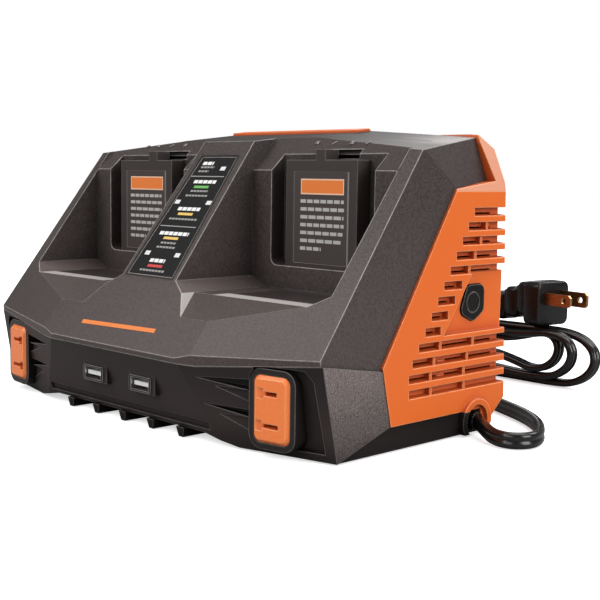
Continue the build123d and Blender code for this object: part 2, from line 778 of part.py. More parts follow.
def rear_cover():
    cover = form(0.0, COVER_PROUD, cover=True) - form(WALL, floor=False)
    cover &= cover_zone()
    floor_x = recess_x()
    backing = prism_x(recess_profile(), (floor_x - RECESS_BACKING, floor_x))
    backing &= form(0.0, COVER_PROUD, cover=True)
    recess = prism_x(recess_profile(), (floor_x, REACH))
    for row in range(LOUVRE_ROWS):
        pocket = louvre(row)
        if row not in SHORT_ROWS:
            pocket += rear_louvre(row)
        cover -= both_sides(pocket)
    cover -= recess
    cover += backing
    cover -= button_post((floor_x - BUTTON_THICK - 0.2, REACH), BUTTON_CLEAR)
    bush = behind(BUTTON_CENTRE[0]), BUTTON_CENTRE[1]
    cover -= rod_x(BUSH_RADIUS, (floor_x - 12.0, floor_x), *bush)
    for side in (1, -1):
        x, d = REAR_SCREW
        post = rod_z(BOSS_RADIUS, side * x, behind(d), (BASE_TOP, REAR_BOSS_TOP))
        cover += post & form(0.4)
        cover -= rod_z(SCREW_RADIUS, side * x, behind(d), (BASE_TOP, BASE_TOP + SCREW_LENGTH - 4.0))
    cover += hood() - base_zone()
    return cover


def gill_wedge(z_tip, z_low, z_high, depth, grow=0.0):
    """A wedge that deepens from its tip towards the outlet."""
    outer = swept_y(GILL_TIP_X, 0.0) - 12.0
    tip_y = swept_y(GILL_TIP_X, z_tip) + grow
    end_y = swept_y(GILL_END_X, z_tip) + depth + grow
    plan = ((GILL_TIP_X, outer), (GILL_END_X, outer), (GILL_END_X, end_y), (GILL_TIP_X, tip_y))
    front = (
        (GILL_TIP_X, z_tip - grow),
        (GILL_END_X, z_low - grow),
        (GILL_END_X, z_high + grow),
        (GILL_TIP_X, z_tip + grow),
    )
    if not grow:
        front = front[:3]
    return prism_z(plan, (z_low - grow, z_high + grow)) & prism_y(front, (-REACH, 0.0))


def gill(z_tip, z_low, z_line, z_high):
    """A shallow lower field and a deep pocket above it, parted by a line."""
    shallow = gill_wedge(z_tip, z_low, z_line, GILL_SHALLOW)
    return shallow + gill_wedge(z_tip, z_line, z_high, GILL_DEEP)


def gill_lining(z_tip, z_line, z_high):
    return gill_wedge(z_tip, z_line, z_high, GILL_DEEP, GILL_LINING)


def outlet_pocket():
    """The sunk field that runs from the outlet to the wing."""
    inner_x = OUTLET_X - OUTLET_SIZE[0] / 2
    plan = (
        (inner_x, POCKET_BOTTOM),
        (POCKET_OUTER_X, POCKET_BOTTOM),
        (POCKET_OUTER_X - 1.6, POCKET_TOP - 4.0),
        (POCKET_OUTER_X - 5.0, POCKET_TOP),
        (inner_x, POCKET_TOP),
    )
    field = prism_y(plan, (NOSE_Y, 0.0))
    return field - form(POCKET_DEPTH, WING_PROUD, floor=False)


def usb_block(centre):
    middle = centre + USB_BLOCK_SIDE
    x = (middle - USB_BLOCK_HALF, middle + USB_BLOCK_HALF)
    front = NOSE_Y + FASCIA_LEAN * (NOSE_Z - USB_BLOCK_TOP)
    rear = NOSE_Y + FASCIA_LEAN * (NOSE_Z - USB_BLOCK_BOTTOM) + 1.0
    return block(x, (front, rear), (USB_BLOCK_BOTTOM, USB_BLOCK_TOP))


def usb_hole(centre, clearance=0.1):
    half = USB_SHELL[0] / 2 + clearance
    tall = USB_SHELL[1] / 2 + clearance
    x = (centre - half, centre + half)
    return block(x, (NOSE_Y - 1, NOSE_Y + 20), (USB_Z - tall, USB_Z + tall))


def outlet_turned(shape):
    """The outlets face a little outwards; this turns one about its upright middle."""
    y = behind(OUTLET_FRONT)
    return Pos(OUTLET_X, y, 0) * Rot(0, 0, OUTLET_TURN) * Pos(-OUTLET_X, -y, 0) * shape


def bezel_size():
    return (OUTLET_SIZE[0] + 2 * BEZEL_RIM, OUTLET_SIZE[1] + 2 * BEZEL_RIM)


def bezel_hole():
    y = (behind(OUTLET_FRONT) - 2, behind(OUTLET_FRONT) + BEZEL_DEPTH + 4)
    return outlet_turned(rounded_block((OUTLET_X, OUTLET_Z), bezel_size(), OUTLET_RADIUS + BEZEL_RIM, y))


def front_fascia():
    outer = form(0.0, WING_PROUD)
    fascia = (outer - form(WALL, floor=False)) & fascia_zone()
    fascia -= tunnel()
    for z_tip, z_low, z_line, z_high in GILLS:
        lining = gill_lining(z_tip, z_line, z_high) & form(0.2, WING_PROUD, floor=False)
        fascia += both_sides(lining)
        fascia -= both_sides(gill(z_tip, z_low, z_line, z_high))
    for x in (RIGHT_USB_X, LEFT_USB_X):
        fascia += usb_block(x)
        fascia -= usb_hole(x)
    lip_z = (LIP_GROOVE_Z, LIP_GROOVE_Z + LIP_GROOVE_HEIGHT)
    lip = block((-LIP_HALF, LIP_HALF), (NOSE_Y, NOSE_Y + 20), lip_z)
    fascia -= lip - form(LIP_GROOVE_DEPTH, WING_PROUD, floor=False)
    fascia -= both_sides(outlet_pocket())
    fascia -= both_sides(bezel_hole())
    return fascia


def outlet_bezel():
    front = behind(OUTLET_FRONT) + BEZEL_SUNK
    y = (front, front + BEZEL_DEPTH)
    body = rounded_block((OUTLET_X, OUTLET_Z), bezel_size(), OUTLET_RADIUS + BEZEL_RIM, y)
    hole = rounded_block((OUTLET_X, OUTLET_Z), OUTLET_SIZE, OUTLET_RADIUS, (y[0] - 1, y[1] + 1))
    return outlet_turned(body - hole)


def outlet_face():
    front = behind(OUTLET_FRONT)
    face = rounded_block((OUTLET_X, OUTLET_Z), OUTLET_SIZE, OUTLET_RADIUS, (front, front + FACE_THICK))
    face = chamfer(face.faces().sort_by(Axis.Y)[0].edges(), FACE_BEVEL)
    for side, width in zip((-1, 1), SLOT_WIDTHS):
        z = OUTLET_Z + side * SLOT_SPACING / 2
        x = (OUTLET_X - width / 2, OUTLET_X + width / 2)
        face -= block(x, (front - 1, front + FACE_THICK + 1), (z - SLOT_HEIGHT / 2, z + SLOT_HEIGHT / 2))
        ramp = ((x[0] - SLOT_RAMP, front - 0.1), (x[0] + 0.1, front - 0.1), (x[0] + 0.1, front + 1.6))
        face -= prism_z(ramp, (z - 2.0, z + 2.0))
    return outlet_turned(face)


def outlet_contacts():
    rear = behind(OUTLET_FRONT) + FACE_THICK
    clips = []
    for side in (1, -1):
        z = OUTLET_Z + side * SLOT_SPACING / 2
        half = SLOT_HEIGHT / 2
        x = (OUTLET_X - 3.2, OUTLET_X + 3.2)
        clip = block(x, (rear, rear + CONTACT_DEPTH), (z - half - CONTACT_WALL, z + half + CONTACT_WALL))
        clip -= block(x, (rear, rear + CONTACT_DEPTH - CONTACT_WALL), (z - half, z + half))
        clips.append(outlet_turned(clip))
    return Compound(children=clips)


def outlet_back():
    """Moulded cap that closes the bezel and holds the contacts."""
    rear = behind(OUTLET_FRONT) + FACE_THICK
    cap = rounded_block((OUTLET_X, OUTLET_Z), OUTLET_SIZE, OUTLET_RADIUS, (rear, rear + CONTACT_DEPTH + 2.0))
    for side in (1, -1):
        z = OUTLET_Z + side * SLOT_SPACING / 2
        half = SLOT_HEIGHT / 2 + CONTACT_WALL
        cap -= block((OUTLET_X - 3.2, OUTLET_X + 3.2), (rear, rear + CONTACT_DEPTH), (z - half, z + half))
    return outlet_turned(cap)


def usb_front():
    return NOSE_Y + FASCIA_LEAN * (NOSE_Z - USB_BLOCK_TOP) - USB_RIM_THICK


def usb_shell(centre):
    x = (centre - USB_SHELL[0] / 2, centre + USB_SHELL[0] / 2)
    z = (USB_Z - USB_SHELL[1] / 2, USB_Z + USB_SHELL[1] / 2)
    y = (usb_front(), usb_front() + USB_LENGTH)
    rim = rounded_block((centre, USB_Z), USB_RIM, 0.9, (y[0], y[0] + USB_RIM_THICK))
    shell = block(x, y, z) + rim
    w = USB_SHELL_WALL
    return shell - block((x[0] + w, x[1] - w), (y[0] - 1, y[1] - w), (z[0] + w, z[1] - w))


def usb_tongue(centre):
    half = USB_SHELL[0] / 2 - 1.2
    top = USB_Z + TONGUE_RISE
    back = usb_front() + USB_LENGTH - USB_SHELL_WALL
    tongue = block((centre - half, centre + half), (usb_front() + 1.2, back), (top - TONGUE_HEIGHT, top))
    root_x = (centre - USB_SHELL[0] / 2 + USB_SHELL_WALL, centre + USB_SHELL[0] / 2 - USB_SHELL_WALL)
    root_z = (USB_Z - USB_SHELL[1] / 2 + USB_SHELL_WALL, USB_Z + USB_SHELL[1] / 2 - USB_SHELL_WALL)
    return tongue + block(root_x, (back - 3.0, back), root_z)


def usb_board():
    top = USB_Z - USB_SHELL[1] / 2
    y = (usb_front() + 8.0, usb_front() + 8.0 + USB_BOARD_SIZE[1])
    half = USB_BOARD_SIZE[0] / 2
    return block((-half, half), y, (top - USB_BOARD_SIZE[2], top))


def usb_board_posts():
    top = USB_Z - USB_SHELL[1] / 2 - USB_BOARD_SIZE[2]
    posts = None
    for x in (-USB_POST_X, USB_POST_X):
        post = rod_z(USB_POST_RADIUS, x, usb_front() + USB_BOARD_SIZE[1], (FLOOR_Z + 1.0, top))
        posts = post if posts is None else posts + post
    return posts


def floor_plate():
    profile = (
        (-REACH, SKIRT_Z),
        (-TUNNEL_FOOT_HALF, SKIRT_Z),
        (-TUNNEL_HALF, FLOOR_Z),
        (TUNNEL_HALF, FLOOR_Z),
        (TUNNEL_FOOT_HALF, SKIRT_Z),
        (REACH, SKIRT_Z),
        (REACH, SKIRT_Z + FLOOR_THICK),
        (TUNNEL_FOOT_HALF, SKIRT_Z + FLOOR_THICK),
        (TUNNEL_HALF, FLOOR_Z + FLOOR_THICK),
        (-TUNNEL_HALF, FLOOR_Z + FLOOR_THICK),
        (-TUNNEL_FOOT_HALF, SKIRT_Z + FLOOR_THICK),
        (-REACH, SKIRT_Z + FLOOR_THICK),
    )
    return prism_y(profile, (-REACH, REACH)) & form(WALL, floor=False)


def fin(index):
    x = (index - (FIN_COUNT - 1) / 2) * FIN_PITCH + FIN_SHIFT
    tip = FIN_TIP / 2
    root = FIN_ROOT / 2
    profile = ((x - root, FLOOR_Z), (x - tip, FIN_Z), (x + tip, FIN_Z), (x + tip, FLOOR_Z))
    return prism_y(profile, (behind(FIN_FRONT), behind(FIN_FRONT + FIN_LENGTH)))


def board_holes():
    half = BOARD_SIZE[0] / 2 - BOARD_HOLE_INSET
    rows = (BOARD_FRONT + BOARD_HOLE_INSET, BOARD_FRONT + BOARD_SIZE[1] - BOARD_HOLE_INSET)
    return [(side * half, behind(d)) for side in (1, -1) for d in rows]


def screw_places():
    """Each screw's x, y and the height where its two bosses meet."""
    places = [(side * x, behind(d), BOSS_FOOT) for x, d in BAY_SCREWS for side in (1, -1)]
    return places + [(side * REAR_SCREW[0], behind(REAR_SCREW[1]), BASE_TOP) for side in (1, -1)]


def gland_slot(grow=0.0):
    y = CORD_EXIT[1]
    z = CORD_EXIT[2]
    radius = CORD_TUBE / 2 + 0.6 + grow
    return rod_x(radius, (CORD_EXIT[0] - GLAND_LENGTH, CORD_EXIT[0]), y, z)


def base_pan():
    pan = (form() - form(WALL, floor=False)) & base_zone()
    pan -= tunnel()
    pan += floor_plate()
    for index in range(FIN_COUNT):
        pan += fin(index)
    pan += usb_board_posts()
    for x, y in board_holes():
        pan += rod_z(BOARD_BOSS, x, y, (SKIRT_Z + 1.0, BOARD_Z)) & form(1.0, floor=False)
        pan -= rod_z(BOARD_SCREW, x, y, (FLOOR_Z + FLOOR_THICK, BOARD_Z))
    for x, y, top in screw_places():
        pan += rod_z(BOSS_RADIUS, x, y, (SKIRT_Z, top)) & form(WALL - 0.5, floor=False)
        pan -= rod_z(SCREW_RADIUS + 0.1, x, y, (SKIRT_Z - 1, top + 1))
        pan -= rod_z(SCREW_HEAD + 0.2, x, y, (SKIRT_Z - 1, SKIRT_Z + 3.0))
    for x, d in FOOT_PLACES:
        for side in (1, -1):
            pan -= rod_z(FOOT_RADIUS, side * x, behind(d), (0.0, SKIRT_Z + FOOT_RECESS))
    pan += hood() & base_zone()
    pan -= gland_slot()
    return pan


def rubber_feet():
    feet = []
    for x, d in FOOT_PLACES:
        for side in (1, -1):
            feet.append(rod_z(FOOT_RADIUS, side * x, behind(d), (0.0, FOOT_HEIGHT)))
    return Compound(children=feet)


def housing_screws():
    screws = []
    for x, y, top in screw_places():
        head_z = SKIRT_Z + 3.0
        head = rod_z(SCREW_HEAD, x, y, (head_z - SCREW_HEAD_HEIGHT, head_z))
        screws.append(head + rod_z(SCREW_RADIUS, x, y, (head_z, top + SCREW_LENGTH - 4.0)))
    return Compound(children=screws)


def board_screws():
    screws = []
    top = BOARD_Z + BOARD_SIZE[2]
    for x, y in board_holes():
        head = rod_z(2.4, x, y, (top, top + 1.6))
        screws.append(head + rod_z(BOARD_SCREW, x, y, (FLOOR_Z + FLOOR_THICK + 0.5, top)))
    return Compound(children=screws)


def main_board():
    half = BOARD_SIZE[0] / 2
    y = (behind(BOARD_FRONT), behind(BOARD_FRONT + BOARD_SIZE[1]))
    board = block((-half, half), y, (BOARD_Z, BOARD_Z + BOARD_SIZE[2]))
    for hx, hy in board_holes():
        board -= rod_z(BOARD_SCREW, hx, hy, (BOARD_Z - 1, BOARD_Z + 4))
    return board


def on_board(x, d, size):
    top = BOARD_Z + BOARD_SIZE[2]
    sx, sy, sz = size
    y = behind(d)
    return block((x - sx / 2, x + sx / 2), (y - sy / 2, y + sy / 2), (top, top + sz))


def transformer_core():
    core = on_board(CORE_X, CORE_BEHIND, CORE_SIZE)
    return core - transformer_window()


def transformer_window():
    top = BOARD_Z + BOARD_SIZE[2]
    y = behind(CORE_BEHIND)
    x = (CORE_X - WINDING_SIZE[0] / 2, CORE_X + WINDING_SIZE[0] / 2)
    span = (y - WINDING_SIZE[1] / 2, y + WINDING_SIZE[1] / 2)
    rise = (CORE_SIZE[2] - WINDING_SIZE[2]) / 2
    return block(x, span, (top + rise, top + rise + WINDING_SIZE[2]))


def choke():
    x, d = CHOKE_PLACE
    z = BOARD_Z + BOARD_SIZE[2] + CHOKE_RADIUS
    y = behind(d)
    ring = rod_y(CHOKE_RADIUS, x, (y - CHOKE_WIDTH / 2, y + CHOKE_WIDTH / 2), z)
    return ring - rod_y(CHOKE_RADIUS / 2.4, x, (y - CHOKE_WIDTH, y + CHOKE_WIDTH), z)


def upright(radius, length, x, d):
    top = BOARD_Z + BOARD_SIZE[2]
    return rod_z(radius, x, behind(d), (top, top + length))


def heat_sink(x):
    sink = on_board(x, SINK_BEHIND, SINK_SIZE)
    top = BOARD_Z + BOARD_SIZE[2]
    front = behind(SINK_BEHIND) + SINK_SIZE[1] / 2
    for index in range(SINK_FINS):
        left = x - SINK_SIZE[0] / 2 + index * (SINK_SIZE[0] - SINK_FIN[0]) / (SINK_FINS - 1)
        sink += block((left, left + SINK_FIN[0]), (front, front + SINK_FIN[1]), (top, top + SINK_SIZE[2]))
    return sink


def power_transistors():
    devices = []
    front = SINK_BEHIND - SINK_SIZE[1] / 2 - TRANSISTOR[1] / 2
    for x in SINK_X:
        for step in (-11.0, 11.0):
            devices.append(on_board(x + step, front, TRANSISTOR))
    return Compound(children=devices)


def fuse():
    x, d = FUSE_PLACE
    z = BOARD_Z + BOARD_SIZE[2] + FUSE_RADIUS
    y = behind(d)
    return rod_y(FUSE_RADIUS, x, (y - FUSE_LENGTH / 2, y + FUSE_LENGTH / 2), z)


def terminal_block(rib):
    x = (BAY_CENTRE - BLOCK_HALF, BAY_CENTRE + BLOCK_HALF)
    y = (behind(BAY_BACK), behind(CHANNEL_BACK))
    body = block(x, y, (CHANNEL_FLOOR, BLOCK_TOP)) + stem_hollow()
    body += block(rib, y, (BLOCK_TOP - 1.0, BAND_FOOT))
    body -= block_label()
    for index in range(BLADE_COUNT):
        body -= blade_body(index)
        body -= blade_body(index, 2 * BLADE_SUNK)
    return body


def block_label():
    x = (BAY_CENTRE - LABEL_HALF, BAY_CENTRE + LABEL_HALF)
    y = (behind(BAY_BACK), behind(BAY_BACK) + LABEL_THICK)
    return block(x, y, (LABEL_BOTTOM, LABEL_TOP))


def blade_body(index, above=0.0):
    x = BAY_CENTRE + (index - (BLADE_COUNT - 1) / 2) * BLADE_PITCH
    half = BLADE_THICK / 2
    y = (behind(BAY_BACK + BLADE_DEPTH[0]), behind(BAY_BACK + BLADE_DEPTH[1]))
    return block((x - half, x + half), y, (BLOCK_STEM[0], BLOCK_TOP - BLADE_SUNK + above))


def terminal_blades():
    return Compound(children=[blade_body(index) for index in range(BLADE_COUNT)])


def reset_button():
    floor_x = recess_x()
    button = button_post((floor_x - BUTTON_THICK + BUTTON_TRAVEL, floor_x + BUTTON_PROUD))
    y = behind(BUTTON_CENTRE[0])
    z = BUTTON_CENTRE[1]
    inner = floor_x - BUTTON_THICK + BUTTON_TRAVEL
    stem = rod_x(STEM_RADIUS, (inner - 9.0, inner + 0.2), y, z)
    return button + stem


def breaker_front():
    return recess_x() - RECESS_BACKING


def breaker_body():
    y = behind(BUTTON_CENTRE[0])
    z = BUTTON_CENTRE[1]
    front = breaker_front()
    x = (front - BREAKER_SIZE[0], front)
    half = BREAKER_SIZE[1] / 2
    tall = BREAKER_SIZE[2] / 2
    body = block(x, (y - half, y + half), (z - tall, z + tall))
    stem = (front - 12.0, front + 1.0)
    body -= rod_x(STEM_RADIUS + STEM_CLEAR, stem, y, z)
    return body - rod_x(SPRING_RADIUS + 0.2, (front - 4.0, front + 1.0), y, z)


def breaker_terminals():
    y = behind(BUTTON_CENTRE[0])
    z = BUTTON_CENTRE[1]
    rear = breaker_front() - BREAKER_SIZE[0]
    tabs = []
    for step in (-5.0, 5.0):
        tabs.append(block((rear - 8.0, rear), (y - 3.2, y + 3.2), (z + step - 0.4, z + step + 0.4)))
    return Compound(children=tabs)


def reset_spring():
    y = behind(BUTTON_CENTRE[0])
    z = BUTTON_CENTRE[1]
    rear = breaker_front() - 4.0
    x = (rear, recess_x() - BUTTON_THICK + BUTTON_TRAVEL)
    ring = rod_x(SPRING_RADIUS, x, y, z)
    return ring - rod_x(SPRING_RADIUS - SPRING_WIRE, (x[0] - 1, x[1] + 1), y, z)


def strain_relief():
    y = CORD_EXIT[1]
    z = CORD_EXIT[2]
    gland = gland_slot()
    inner = CORD_EXIT[0] - GLAND_LENGTH
    return gland + rod_x(GLAND_FLANGE, (inner - 3.0, inner), y, z + 3.2)


def cord_radii(points):
    """The largest bend that each corner's two straight runs leave room for."""
    radii = []
    for a, b, c in zip(points, points[1:], points[2:]):
        first = Vector(*b) - Vector(*a)
        second = Vector(*c) - Vector(*b)
        turn = radians(first.get_angle(second))
        radii.append(0.45 * min(first.length, second.length) / tan(turn / 2))
    return radii


def power_cord():
    radii = cord_radii(CORD_POINTS)
    path = FilletPolyline(*CORD_POINTS, radius=radii)
    start = Plane(origin=path @ 0, z_dir=path % 0)
    tube = sweep(start * Circle(CORD_TUBE / 2), path=path)
    expected = pi * (CORD_TUBE / 2) ** 2 * path.length
    print("cord radii", [round(r, 1) for r in radii])
    print("cord length", round(path.length, 1), "volume ratio", round(tube.volume / expected, 4))
    return tube


def cord_hank():
    x = HANK_X
    hank = block(x, HANK_Y, (0.2, HANK_HEIGHT))
    ends = hank.edges().filter_by(Axis.Y)
    return fillet(ends, HANK_END)


def cord_tie():
    t = TIE_THICK
    x = (TIE_X - TIE_WIDTH / 2, TIE_X + TIE_WIDTH / 2)
    band = block(x, (HANK_Y[0] - t, HANK_Y[1] + t), (0.0, HANK_HEIGHT + t))
    return band - block(x, HANK_Y, (0.2, HANK_HEIGHT))


def plug_place():
    """Where the middle of the plug's face stands, turned about the upright."""
    return Pos(PLUG_FACE[0], PLUG_FACE[1], HANK_HEIGHT) * Rot(0, 0, PLUG_TURN)


def plug_body():
    sx, sy, sz = PLUG_BODY
    body = block((-sx, 0.0), (-sy / 2, sy / 2), (0.0, sz))
    body = chamfer(body.edges().filter_by(Axis.X), 3.0)
    wide, tall = PLUG_NECK_SIZE
    low = PIN_RISE - tall / 2 - 1.0
    neck = block((-sx - PLUG_NECK, -sx), (-wide / 2, wide / 2), (low, low + tall))
    return plug_place() * (body + chamfer(neck.edges().filter_by(Axis.X), 2.0)) - plug_pins()


def plug_pins():
    pins = []
    for side, width in zip((-1, 1), PIN_WIDTHS):
        y = side * PIN_SPACING / 2
        z = (PIN_RISE - width / 2, PIN_RISE + width / 2)
        pin = block((-PIN_ROOT, PIN_LENGTH), (y - PIN_THICK / 2, y + PIN_THICK / 2), z)
        pin = chamfer(pin.edges().filter_by(Axis.Y).sort_by(Axis.X)[-2:], 1.4)
        hole = rod_y(PIN_HOLE, PIN_LENGTH - PIN_HOLE_BACK, (y - 3.0, y + 3.0), PIN_RISE)
        pins.append(plug_place() * (pin - hole))
    return Compound(children=pins)


def save(name, shape):
    export_step(shape, f"parts/{name}.step")


def save_pair(name, shape):
    save("right_" + name, shape)
    save("left_" + name, other_side(shape))


def save_housing():
    save("upper_housing", upper_housing())
    save("rear_cover", rear_cover())
    save("front_fascia", front_fascia())
    save("base_pan", base_pan())
    save("rubber_feet", rubber_feet())
    save("housing_screws", housing_screws())


def save_front():
    save_pair("outlet_bezel", outlet_bezel())
    save_pair("outlet_face", outlet_face())
    save_pair("outlet_contacts", outlet_contacts())
    save_pair("outlet_back", outlet_back())
    save("right_usb_shell", usb_shell(RIGHT_USB_X))
    save("left_usb_shell", usb_shell(LEFT_USB_X))
    save("right_usb_tongue", usb_tongue(RIGHT_USB_X))
    save("left_usb_tongue", usb_tongue(LEFT_USB_X))
    save("usb_board", usb_board())
    save("status_label", status_label())
    pipes = [lamp_post(x, z, PIPE_LENGTH) for x, z in LAMPS]
    save("light_pipes", Compound(children=pipes))
    save("indicator_board", indicator_board())
    save("indicator_leds", indicator_leds())


def save_bays():
    save("right_terminal_block", terminal_block(RIGHT_RIB))
    save("left_terminal_block", other_side(terminal_block(LEFT_RIB)))
    save_pair("block_label", block_label())
    save_pair("terminal_blades", terminal_blades())


def save_power():
    save("main_board", main_board())
    save("board_screws", board_screws())
    save("transformer_core", transformer_core())
    save("transformer_winding", transformer_window())
    save("line_filter_choke", choke())
    save("input_capacitor", upright(BULK_RADIUS, BULK_LENGTH, *BULK_PLACE))
    smoothers = [upright(SMOOTH_RADIUS, SMOOTH_LENGTH, x, SMOOTH_BEHIND) for x in SMOOTH_X]
    save("output_capacitors", Compound(children=smoothers))
    save("left_heat_sink", heat_sink(SINK_X[0]))
    save("right_heat_sink", heat_sink(SINK_X[1]))
    save("power_transistors", power_transistors())
    save("relay", on_board(*RELAY_PLACE, RELAY_SIZE))
    save("fuse", fuse())
    sockets = [on_board(x, PLUG_ROW_BEHIND, PLUG_ROW_SIZE) for x in PLUG_ROW_X]
    save("board_connectors", Compound(children=sockets))
    save("breaker_body", breaker_body())
    save("breaker_terminals", breaker_terminals())
    save("reset_spring", reset_spring())
    save("reset_button", reset_button())


def save_cord():
    save("strain_relief", strain_relief())
    save("power_cord", power_cord())
    save("cord_hank", cord_hank())
    save("cord_tie", cord_tie())
    save("plug_body", plug_body())
    save("plug_blades", plug_pins())


os.makedirs("parts", exist_ok=True)
save_housing()
save_front()
save_bays()
save_power()
save_cord()
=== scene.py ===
"""Looks of a mains charger for slide-on tool batteries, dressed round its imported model."""

from __future__ import annotations

import logging
import math
from dataclasses import dataclass
from enum import Enum
from typing import Any, Iterable

import bmesh
import bpy
from mathutils import Matrix, Vector

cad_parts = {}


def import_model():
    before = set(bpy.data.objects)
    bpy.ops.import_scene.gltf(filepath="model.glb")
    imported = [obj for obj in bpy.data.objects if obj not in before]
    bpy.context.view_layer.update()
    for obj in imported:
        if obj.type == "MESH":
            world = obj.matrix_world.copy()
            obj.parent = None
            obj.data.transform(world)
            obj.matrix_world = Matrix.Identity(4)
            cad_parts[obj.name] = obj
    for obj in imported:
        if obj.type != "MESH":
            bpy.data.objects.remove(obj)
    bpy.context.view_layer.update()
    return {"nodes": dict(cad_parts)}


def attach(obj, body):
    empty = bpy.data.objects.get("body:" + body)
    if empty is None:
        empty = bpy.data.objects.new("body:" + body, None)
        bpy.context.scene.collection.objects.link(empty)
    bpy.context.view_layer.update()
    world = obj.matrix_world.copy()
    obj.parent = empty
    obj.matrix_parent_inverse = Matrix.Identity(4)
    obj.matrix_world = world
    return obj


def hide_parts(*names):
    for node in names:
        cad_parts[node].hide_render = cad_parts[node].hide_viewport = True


log = logging.getLogger("charger")

Colour = tuple[float, float, float]
Point = tuple[float, float, float]
Pair = tuple[float, float]
Span = Pair  # the low end and the high end
Item = bpy.types.Object
Material = bpy.types.Material
Nodes = dict[str, Item]
Mesh = bmesh.types.BMesh
Edge = bmesh.types.BMEdge
Vert = bmesh.types.BMVert
MM = 0.001
NO_LIGHT: Colour = (0.0, 0.0, 0.0)
BODY = "charger"
BUTTON = "button"
FACE_RISE = math.tan(math.radians(52.8))
FACE_NORMAL = Vector((0.0, -FACE_RISE, 1.0)).normalized()
NOSE_Y = -65.5
NOSE_Z = 35.0
SHARP = math.radians(40.0)


def scaled(colour: Colour, factor: float) -> Colour:
    """The colour made darker or paler by a factor."""
    red, green, blue = colour
    return red * factor, green * factor, blue * factor


class Socket:
    """A node output that can be used in sums."""

    def __init__(self, graph: "Graph", output: Any) -> None:
        """Keeps the output and the graph that its sums are added to."""
        self.graph = graph
        self.output = output

    def _sum(self, operation: str, first: Any, second: Any) -> "Socket":
        """The result of one Math node on two numbers or sockets."""
        values = {0: first, 1: second}
        return self.graph.add("ShaderNodeMath", {"operation": operation}, values).out()

    def __add__(self, other: Any) -> "Socket":
        """This plus other."""
        return self._sum("ADD", self, other)

    __radd__ = __add__

    def __mul__(self, other: Any) -> "Socket":
        """This times other."""
        return self._sum("MULTIPLY", self, other)

    __rmul__ = __mul__

    def __sub__(self, other: Any) -> "Socket":
        """This minus other."""
        return self._sum("SUBTRACT", self, other)

    def __rsub__(self, other: Any) -> "Socket":
        """Other minus this."""
        return self._sum("SUBTRACT", other, self)

    def __gt__(self, other: Any) -> "Socket":
        """One where this is larger than other."""
        return self._sum("GREATER_THAN", self, other)

    def __lt__(self, other: Any) -> "Socket":
        """One where this is smaller than other."""
        return self._sum("LESS_THAN", self, other)

    def __abs__(self) -> "Socket":
        """This without its sign."""
        return self._sum("ABSOLUTE", self, 0.0)

    def at_least(self, other: Any) -> "Socket":
        """The larger of this and other."""
        return self._sum("MAXIMUM", self, other)

    def within(self, span: Span) -> "Socket":
        """One between the two ends of the span."""
        return (self > span[0]) * (self < span[1])

    def repeat(self, step: float) -> "Socket":
        """This counted again from nought at each step."""
        return self._sum("MODULO", self, step)

    def ramp(self, low: float, high: float) -> "Socket":
        """Rises smoothly from nought at low to one at high."""
        values = {"Value": self, "From Min": low, "From Max": high}
        return self.graph.add("ShaderNodeMapRange", {"interpolation_type": "SMOOTHSTEP"}, values).out()


class Added:
    """A node that has been added to a graph."""

    def __init__(self, graph: "Graph", node: bpy.types.Node) -> None:
        """Keeps the node and its graph."""
        self.graph = graph
        self.node = node

    def out(self, name: str | int = 0) -> Socket:
        """The node's output of that name or place."""
        return Socket(self.graph, self.node.outputs[name])


